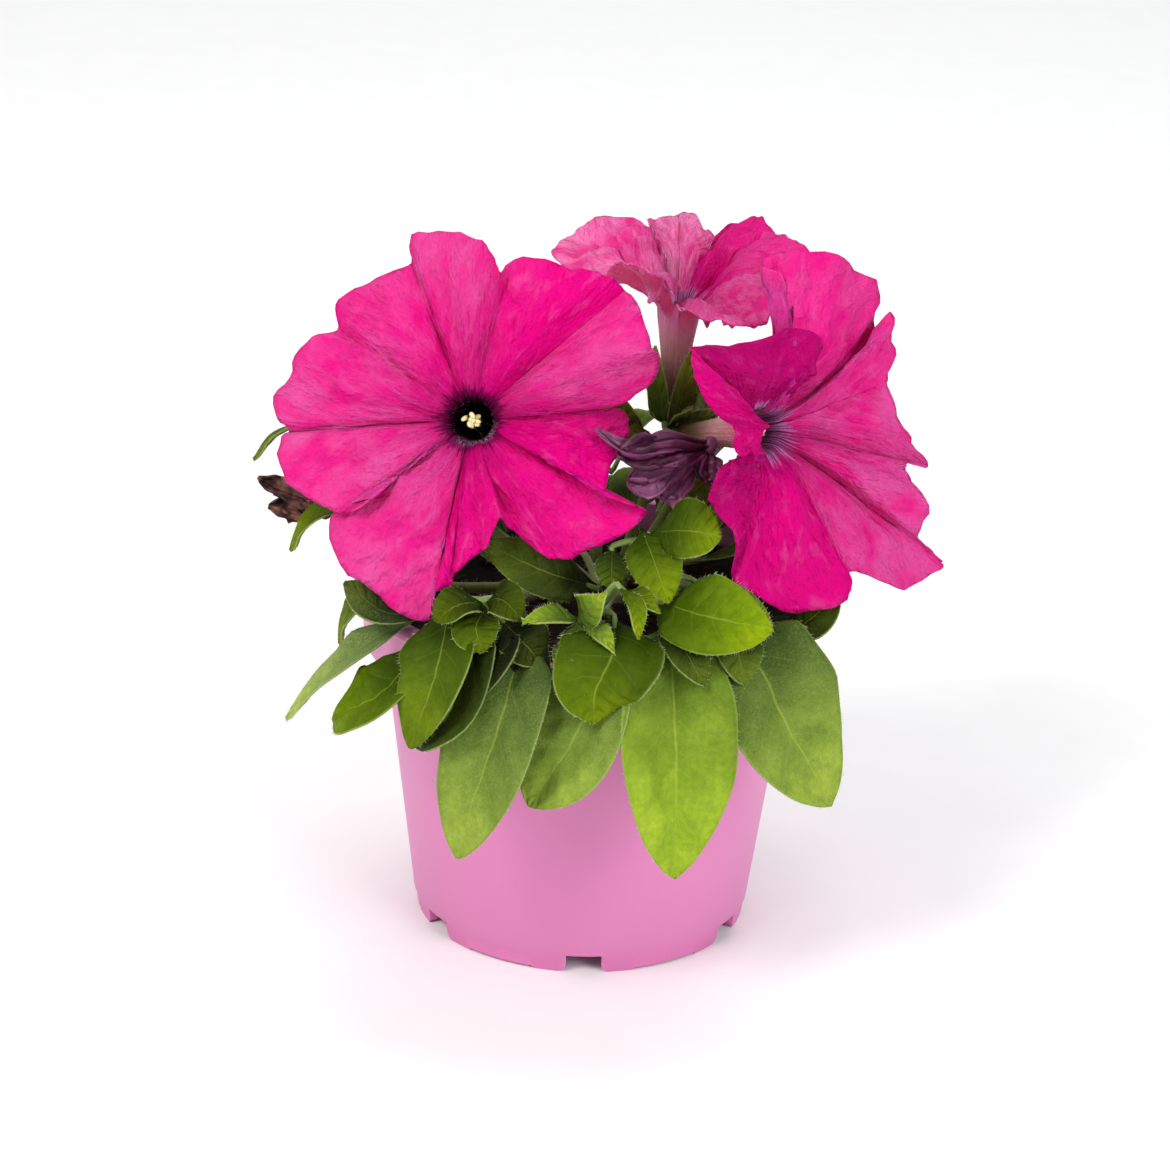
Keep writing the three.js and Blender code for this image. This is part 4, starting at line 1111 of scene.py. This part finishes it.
def corolla_form(flower):
    """The place and the shade of a corolla's points, round it and from its foot to its margin."""
    centre, start = point(flower["throat"]), point(flower["foot"])
    normal = Vector(flower["faces"]).normalized()
    aside = Vector((0, 1, 0)).cross(normal).normalized()
    above = normal.cross(aside)
    rim = [point(p) for p in flower["margin"]]
    count = len(rim)
    turns = even_turns(rim, centre, aside, above)
    folds = flower["folds"] + [flower["folds"][0] + count]
    columns = []
    for column in range(AROUND):
        share = 2 * PETALS * (1 - column / AROUND)
        half = min(int(share), 2 * PETALS - 1)
        eased = (1 - math.cos(math.pi * (share - half))) / 2
        position = folds[half] + (folds[half + 1] - folds[half]) * eased
        columns.append((half, eased if half % 2 else 1 - eased, position))

    def turn_at(position):
        """The turn round the throat at a position on the margin."""
        order = int(position) % count
        ahead = turns[order + 1] if order + 1 < count else turns[0] + 2 * math.pi
        return turns[order] + (ahead - turns[order]) * (position % 1)

    def bare(position, v):
        """The plain funnel, before it is puffed, creased and ruffled."""
        turn = turn_at(position)
        out = aside * math.cos(turn) + above * math.sin(turn)
        mouth = centre - normal * 2 * MM + out * TUBE_MOUTH
        if v < TUBE_SHARE:
            share = v / TUBE_SHARE
            line = start.lerp(centre - normal * 2 * MM, share)
            return line + out * tube_radius(share)
        share = (v - TUBE_SHARE) / (1 - TUBE_SHARE)
        edge = loop_at(rim, position)
        reach = edge - mouth
        ragged = noise.noise(Vector((position * 1.9, 3, count))) * RAGGED
        ragged += noise.noise(Vector((position * 5.5, 7, count))) * FINE_RAGGED
        edge = edge + reach.normalized() * ragged * MM
        bend = mouth + reach * 0.35 + normal * 3 * MM
        return mouth * (1 - share) ** 2 + bend * 2 * share * (1 - share) + edge * share ** 2

    def creased(position, share):
        """How far the listed creases lift a place of the limb."""
        height = 0
        for line, rise in flower["creases"]:
            seen = []
            for spot, out in line:
                beside = (spot - position + count / 2) % count - count / 2
                seen.append(Vector((beside * MARGIN_STEP * share, (out - share) * LIMB_LENGTH)))
            height += rise * math.exp(-distance_to(seen) / CREASE_WIDTH)
        return height

    base, lifts = [], []
    for half, from_rib, position in columns:
        reach = loop_at(rim, position) - centre
        size = min(1, reach.length / (28 * MM))
        along = reach.normalized()
        lifts.append((normal - along * normal.dot(along)).normalized() * size)
        line = []
        for row in range(ALONG + 1):
            v = row / ALONG
            if 0.03 < v < 0.97:
                line.append((bare(position, v - SOFTENING) + 2 * bare(position, v)
                             + bare(position, v + SOFTENING)) / 4)
            else:
                line.append(bare(position, v))
        base.append(line)

    def place(u, v):
        column, row = round(u * AROUND) % AROUND, round(v * ALONG)
        half, from_rib, position = columns[column]
        here = base[column][row]
        if v <= TUBE_SHARE:
            return here
        share = (v - TUBE_SHARE) / (1 - TUBE_SHARE)
        swell = math.sin(math.pi * min(1, 0.1 + 0.85 * share)) * 0.8 + 0.2 * share
        if from_rib < 0.5:
            bulge = (4 * from_rib * (1 - from_rib)) ** 0.75
        else:
            bulge = math.cos(math.pi * (from_rib - 0.5)) ** 2
        arch = math.sin(math.pi / 2 * from_rib) * ramp(share, 1, 0.3)
        puffed = PUFF * (bulge + arch) * swell
        puffed *= flower["puffs"][half] + 0.7 * noise.noise(Vector((half * 3.7, share * 2, count)))
        side = 1 if half % 2 else -1
        near_seam = max(0, (from_rib - 0.6) / 0.4)
        lapped = side * LAP * near_seam ** 2 * ramp(near_seam, 1, 0.8) * ramp(share, 0.45, 1)
        wavy = noise.noise(Vector((position * 0.55, share * 1.6, count))) * WAVE * share ** 2.2
        frilled = noise.noise(Vector((position * 1.5, share * 3, 5 + count))) * FRILL * share ** 4
        slant = position * 2.2 + side * share * 4
        wrinkled = noise.noise(Vector((slant, share * 3, 9 + count))) * WRINKLE
        wrinkled *= ramp(share, 0, 0.6)
        pucker = noise.noise(Vector((position * 0.9, share * 4.5, 12 + count)))
        puckered = PUCKER * max(0, pucker - 0.05) * ramp(share, 0.1, 0.5)
        folded = creased(position, share) * ramp(share, 0.05, 0.25) * ramp(share, 1.1, 0.8)
        lift = puffed + lapped + wavy + frilled + wrinkled + puckered + folded
        return here + lifts[column] * lift * MM

    def shade(u, v):
        half, from_rib, position = columns[round(u * AROUND) % AROUND]
        tone = flower["tones"][half]
        beside = flower["tones"][(half + (1 if half % 2 else -1)) % (2 * PETALS)]
        tone += (beside - tone) * flower["melt"] * ramp(from_rib, 0.45, 1)
        return from_rib, 0.5 + 0.5 * tone, position % count / count, flower["eye"]

    return place, shade


def petal_material(name, outside):
    """Thin velvety petal. Its attribute holds how far a place is from the midrib, the half petal's
    tone of painted sheen and painted shade, how far round the flower it lies, and how far the eye
    is painted near black."""
    made, tree, shader = material(name, Roughness=0.6, Specular_IOR_Level=0.04,
                                  Subsurface_Weight=0.8 if outside else 0.0,
                                  Subsurface_Scale=0.002, Subsurface_Radius=(1.6, 0.35, 0.5))
    from_rib, tone, around = own_shade(tree)
    eye = node(tree, "Attribute", out="Alpha", attribute_name="shade")
    share = node(tree, "MapRange", {0: own_uv(tree)[1], 1: TUBE_SHARE, 2: 1.0}, clamp=False)
    spread = times(tree, around, 60.0)
    fan = node(tree, "CombineXYZ", {"X": spread, "Y": times(tree, share, 4.0)})
    slant = minus(tree, from_rib, times(tree, share, 0.7))
    oblique = node(tree, "CombineXYZ", {"X": times(tree, slant, 9.0),
                                        "Y": times(tree, share, 4.0),
                                        "Z": times(tree, around, 20.0)})
    cloud = mottle(tree, own_place(tree), 70, 4)
    crumple = mottle(tree, own_place(tree), 260, 3)
    veining = mottle(tree, oblique, 1.0, 4)
    spokes = mottle(tree, node(tree, "CombineXYZ", {"X": spread, "Y": share}), 1.3, 2)
    rays = mottle(tree, fan, 1.6, 4)
    fine_rays = mottle(tree, fan, 6.0, 3)
    deep = (0.64, 0.0, 0.175, 1)
    light = (0.62, 0.085, 0.30, 1)
    # Painted sheen and painted shade: a half petal with a tone above 0 is washed towards the light
    # pink in clouds, as painted sheen, and one with a tone below 0 is darkened, as painted shade.
    # Tones above 1 are washed paler still, as painted sheen.
    pale = node(tree, "MapRange", {0: tone, 1: 0.5, 2: 1.0})
    painted_shade = node(tree, "MapRange", {0: tone, 1: 0.5, 2: 0.0})
    mixed = plus(tree, times(tree, cloud, 1.4), times(tree, rays, 0.5), veining)
    cloudy = node(tree, "MapRange", {0: mixed, 1: 1.2, 2: 1.75, 3: 0.15, 4: 1.0})
    beyond_eye = node(tree, "MapRange", {0: share, 1: 0.12, 2: 0.5, 3: 0.45, 4: 0.85})
    painted_sheen = times(tree, times(tree, pale, cloudy), beyond_eye)
    pink = tint(tree, painted_sheen, deep, light)
    # Radial streaks of painted sheen.
    sheen_streaks = times(tree, ease(tree, rays, 0.52, 0.72), beyond_eye)
    pink = tint(tree, times(tree, sheen_streaks, 0.35), pink, light)
    paler = times(tree, ease(tree, tone, 0.98, 1.2), cloudy)
    pink = tint(tree, times(tree, paler, 0.8), pink, (0.82, 0.24, 0.46, 1))
    pink = tint(tree, painted_shade, pink, (0.50, 0.3, 0.55, 1), "MULTIPLY")
    midrib = times(tree, ease(tree, from_rib, 0.01, 0.0), ease(tree, share, 1.0, 0.6))
    pink = tint(tree, times(tree, midrib, 0.75), pink, (0.26, 0.0, 0.08, 1))
    thread = ease(tree, apart(tree, fine_rays, 0.5), 0.045, 0.0)
    threads = times(tree, thread, ease(tree, share, 0.95, 0.1))
    pink = tint(tree, times(tree, threads, 0.24), pink, (0.35, 0.0, 0.13, 1))
    if outside:
        # The outside of the half petals with tones above 1 is painted a paler pink: partly the
        # underside's own paler colour and partly painted light, as bright as if the petal in shade
        # were lit.
        pale_and_lit_underside = times(tree, ease(tree, tone, 1.0, 1.1), 0.9)
        pink = tint(tree, pale_and_lit_underside, pink, (1.0, 0.28, 0.55, 1))
        pink = tint(tree, times(tree, thread, 0.4), pink, (0.40, 0.05, 0.18, 1))
        skin = tint(tree, spokes, (0.5, 0.14, 0.17, 1), (0.84, 0.44, 0.40, 1))
        pink = tint(tree, ease(tree, share, 0.05, -0.16), pink, skin)
        pink = tint(tree, ease(tree, share, -0.15, -0.33), pink, (0.22, 0.26, 0.08, 1))
    else:
        # The eye is lilac with dark veins. Where eye is 1, as in the left flower, its ground and
        # the middle of the throat are painted near black: partly the throat's own dark purple and
        # partly painted shade in the deep tube.
        inward = ease(tree, share, 0.25, -0.02)
        rayed = plus(tree, times(tree, spokes, 1.7), inward, times(tree, fine_rays, 0.9))
        lilac = tint(tree, eye, (0.56, 0.20, 0.50, 1), (0.10, 0.0, 0.04, 1))
        veined = tint(tree, ease(tree, spokes, 0.42, 0.56), (0.06, 0.0, 0.04, 1), lilac)
        pink = tint(tree, times(tree, ease(tree, rayed, 1.7, 2.15), 0.85), pink, veined)
        ragged = times(tree, minus(tree, spokes, 0.5), 0.5)
        dark = times(tree, ease(tree, plus(tree, share, ragged), 0.05, -0.04), eye)
        pink = tint(tree, dark, pink, (0.010, 0.001, 0.008, 1))
        below = ease(tree, apart(tree, around, 0.57), 0.2, 0.08)
        lipped = times(tree, ease(tree, share, 0.07, 0.02), ease(tree, share, -0.06, 0.0))
        lit = times(tree, times(tree, below, lipped), ease(tree, fine_rays, 0.50, 0.60))
        pink = tint(tree, times(tree, lit, eye), pink, (0.62, 0.38, 0.62, 1))
    velvet = times(tree, ease(tree, crumple, 0.4, 0.65), 0.12)
    painted(tree, shader, tint(tree, velvet, pink, (0.72, 0.5, 0.7, 1), "MULTIPLY"))
    pleats = apart(tree, mottle(tree, oblique, 1.3, 2), 0.5)
    pleated = times(tree, ease(tree, pleats, 0.16, 0.0), ease(tree, cloud, 0.5, 0.62))
    height = plus(tree, times(tree, rays, 0.8), veining, times(tree, fine_rays, 0.5),
                  times(tree, crumple, 0.9), times(tree, pleated, 0.22))
    relief(tree, shader, height, 1.7 * MM)
    return made


petal_inside = petal_material("petal_inside", False)
petal_outside = petal_material("petal_outside", True)

for name, flower in flowers.items():
    bm = bmesh.new()
    place, shade = corolla_form(flower)
    sheet(bm, AROUND, ALONG, place, shade, closed=True)
    funnel = piece("corolla_" + name + "_petals", bm, petal_inside, petal_outside)
    thick = funnel.modifiers.new("thick", "SOLIDIFY")
    thick.thickness = PETAL
    thick.offset = -1
    thick.material_offset = 1
    thick.material_offset_rim = 0
    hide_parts("corolla_" + name)
    at = tube_frame(flower)
    reach = tube_length(flower)
    for order in range(TUBE_HAIRS):
        along, turn = loose.uniform(0.1, 1.0), loose.uniform(0, 360)
        out = (at(0, 1, turn) - at(0, 0, turn)).normalized()
        root = at(along * (reach - 2), tube_radius(along) / MM, turn) * MM
        hair_roots.append((root, out, 1.0))

# Stamens
# Five pale filaments and a green style rise from the foot of each tube. Their ripe anthers
# are split lengthwise, and cream-yellow pollen covers them.

STYLE_RADIUS = 0.45 * MM
STIGMA_RADIUS = 0.95 * MM
FILAMENT_RADIUS = 0.3 * MM

pollen = mottled("pollen", 2600, 3, (0.66, 0.48, 0.13), (0.95, 0.86, 0.52), 0.2 * MM,
                 Roughness=0.85, Specular_IOR_Level=0.2, Subsurface_Weight=0.2,
                 Subsurface_Radius=(0.001, 0.0008, 0.0004))
filament = mottled("filament", 500, 2, (0.45, 0.50, 0.22), (0.72, 0.74, 0.45), Roughness=0.5,
                   Subsurface_Weight=0.2, Subsurface_Radius=(0.001, 0.001, 0.0005))

for name, flower in flowers.items():
    bm = bmesh.new()
    at = tube_frame(flower)
    reach = tube_length(flower)
    forward = (at(1, 0, 0) - at(0, 0, 0)).normalized()
    tube(bm, [at(1.1, 0, 0) * MM, at(reach * 0.5, 0.2, 60) * MM, at(reach - 2.2, 0, 0) * MM],
         STYLE_RADIUS, 10, 16, slot=1)
    knob(bm, at(reach - 1.5, 0, 0) * MM, STIGMA_RADIUS, 1, stretch=0.6, along=forward)
    for order in range(PETALS):
        turn = order * 360 / PETALS + 20 + 14 * math.sin(order * 5)
        depth = reach - 2.0 - 2 * (1 - flower["eye"]) + 0.8 * math.sin(order * 2.5)
        spread = 1.5 + 0.5 * math.sin(order * 4)
        out = (at(0, 1, turn) - at(0, 0, turn)).normalized()
        lean = out + forward * math.sin(order * 3) + forward.cross(out) * math.sin(order * 7)
        tube(bm, [at(1.1, 0.5, turn) * MM, at(reach * 0.5, 1.3, turn) * MM,
                  at(depth, spread, turn) * MM], FILAMENT_RADIUS, 8, 16, slot=1)
        for half in (-1, 1):
            place = at(depth + 0.3, spread, turn) + lean.cross(out).normalized() * 0.45 * half
            size = (0.62 + 0.1 * math.sin(order * 6)) * MM
            knob(bm, place * MM, size, 0, stretch=1.5, along=lean)
    stamens = piece("stamens_" + name + "_anthers", bm, pollen, filament)
    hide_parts("stamens_" + name)

# Spent flowers
# One flower has just wilted. Its petals have gone limp, dark and purple, and hang together.
# An older one at the left has dried to a brown, brittle twist.

spent_flowers = {
    # A wilted lobe's bright is partly its own colour and partly painted shade: the lobes given 0.1
    # are painted purple-black, partly their own dark purple and partly painted shade in the gaps
    # between the lobes.
    "wilted_flower": dict(knob=(28, -29, 138), lobes=[
        dict(rib=[(27, -30, 139), (17, -36, 141), (9, -37, 139), (0, -39, 145)], width=5,
             belly=0.4, bright=0.45),
        dict(rib=[(27, -30, 138), (15, -38, 138), (5, -39, 139)], width=10, bright=0.1),
        dict(rib=[(27, -30, 137), (16, -38, 132), (8, -39, 131)], width=9, belly=0.72,
             bright=0.65),
        dict(rib=[(27, -30, 137), (20, -37, 131), (17, -39, 127)], width=8, belly=0.7,
             bright=0.55),
        dict(rib=[(28, -29, 137), (28, -33, 133), (28, -35, 130)], width=6, bright=0.1),
    ]),
    "dried_flower": dict(knob=(-67, -8, 110), lobes=[
        dict(rib=[(-67, -8, 110), (-75, -10, 114), (-84, -8, 118)], width=6, bright=0.7),
        dict(rib=[(-67, -8, 110), (-74, -12, 111), (-81, -12, 112)], width=6, bright=0.9),
        dict(rib=[(-67, -8, 110), (-73, -8, 108), (-77, -9, 108)], width=5, bright=0.3),
    ]),
}
SPENT_BASE_RADIUS = 2 * MM
CRUMPLE = 0.32
FINE_CRUMPLE = 0.07
CRUMPLE_SEED = 1  # noise_vector starts from the clock unless it is given a seed
noise.seed_set(CRUMPLE_SEED)


def limp_lobe(bm, rib, width, bright, belly=0.5):
    """A crumpled petal of a spent flower. It is rolled in at its sides and creased lengthwise."""
    flat = leaf_form(rib, width, faces=FRONT, belly=belly, cup=0.6, sunken=0.0)
    seed = rib[-1][0]

    def place(u, v):
        here = flat(u, v)
        wave = Vector((seed, u * 2.6, v * 1.4))
        crumple = noise.noise_vector(wave * 1.8) * CRUMPLE * width * MM
        fine = noise.noise_vector(wave * 4.5) * FINE_CRUMPLE * width * MM
        return here + (crumple + fine) * math.sin(math.pi * min(1, v + 0.08)) ** 0.5

    sheet(bm, 20, 26, place, (bright, 0.3, 0.2, 1))


limp_purple, tree, shader = material("limp_purple", Roughness=0.4, Specular_IOR_Level=0.25)
vein = mottle(tree, own_place(tree), 240, 5)
# Dark lobes are purple-black, partly the petals' own colour and partly painted shade. Bright lobes
# are mauve, with clouds of paler mauve that are partly their own colour and partly painted
# highlights.
pale = ease(tree, mottle(tree, own_place(tree), 90, 3), 0.42, 0.62)
purple = tint(tree, ease(tree, vein, 0.35, 0.65), (0.012, 0.001, 0.008, 1),
              (0.09, 0.008, 0.045, 1))
mauve = tint(tree, pale, (0.20, 0.04, 0.12, 1), (0.36, 0.12, 0.26, 1))
painted(tree, shader, tint(tree, own_shade(tree)[0], purple, mauve))
relief(tree, shader, vein, 0.5 * MM)

dry_brown, tree, shader = material("dry_brown", Roughness=0.8, Specular_IOR_Level=0.25)
fibre = mottle(tree, own_place(tree), 320, 5)
russet = tint(tree, own_shade(tree)[0], (0.06, 0.02, 0.02, 1), (0.26, 0.11, 0.085, 1))
painted(tree, shader, tint(tree, ease(tree, fibre, 0.35, 0.65), (0.02, 0.007, 0.007, 1), russet))
relief(tree, shader, fibre, 0.6 * MM)

for name, parts in spent_flowers.items():
    skin, slot = (limp_purple, "wilted_petal") if name == "wilted_flower" else (
        dry_brown, "dried_petal")
    bm = bmesh.new()
    for lobe in parts["lobes"]:
        limp_lobe(bm, **lobe)
    spent = piece(name + "_petals", bm, skin)
    thick = spent.modifiers.new("thick", "SOLIDIFY")
    thick.thickness = PETAL
    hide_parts(name)
    bm = bmesh.new()
    knob(bm, point(parts["knob"]), SPENT_BASE_RADIUS, 0, stretch=1.3)
    base = piece(name + "_base", bm, skin)

# Hairs
# The whole plant is downy. Short glassy hairs stand on the stems, the leaves and their margins,
# the sepals and the flower tubes.

HAIR_LENGTH = 1.2 * MM
HAIR_RADIUS = 0.04 * MM
HAIR_ROOTED = 0.45
HAIRS = 16384

loose.shuffle(hair_roots)
hair_places = []
for root, out, size in hair_roots[:HAIRS]:
    turn = out.to_track_quat("Z", "Y").to_matrix().to_4x4()
    length = HAIR_LENGTH * size * loose.uniform(0.7, 1.3)
    hair_places.append(Matrix.Translation(root + out * length * HAIR_ROOTED) @ turn
                       @ Matrix.Diagonal((HAIR_RADIUS, HAIR_RADIUS, length, 1)))
bm = bmesh.new()
bmesh.ops.create_cone(bm, segments=3, radius1=1, radius2=0, depth=1, cap_ends=False)
row_of(bm, len(hair_places))
planted(bm, hair_places)
down = mottled("down", 800, 1, (0.36, 0.44, 0.20), (0.62, 0.68, 0.45), Roughness=0.35,
               Specular_IOR_Level=0.5, Subsurface_Weight=0.2,
               Subsurface_Radius=(0.001, 0.001, 0.001))
hairs = piece("plant_hairs", bm, down)

size = {"cad": [list(corner) for corner in cad_box],
        "visual": [list(corner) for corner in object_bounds()]}
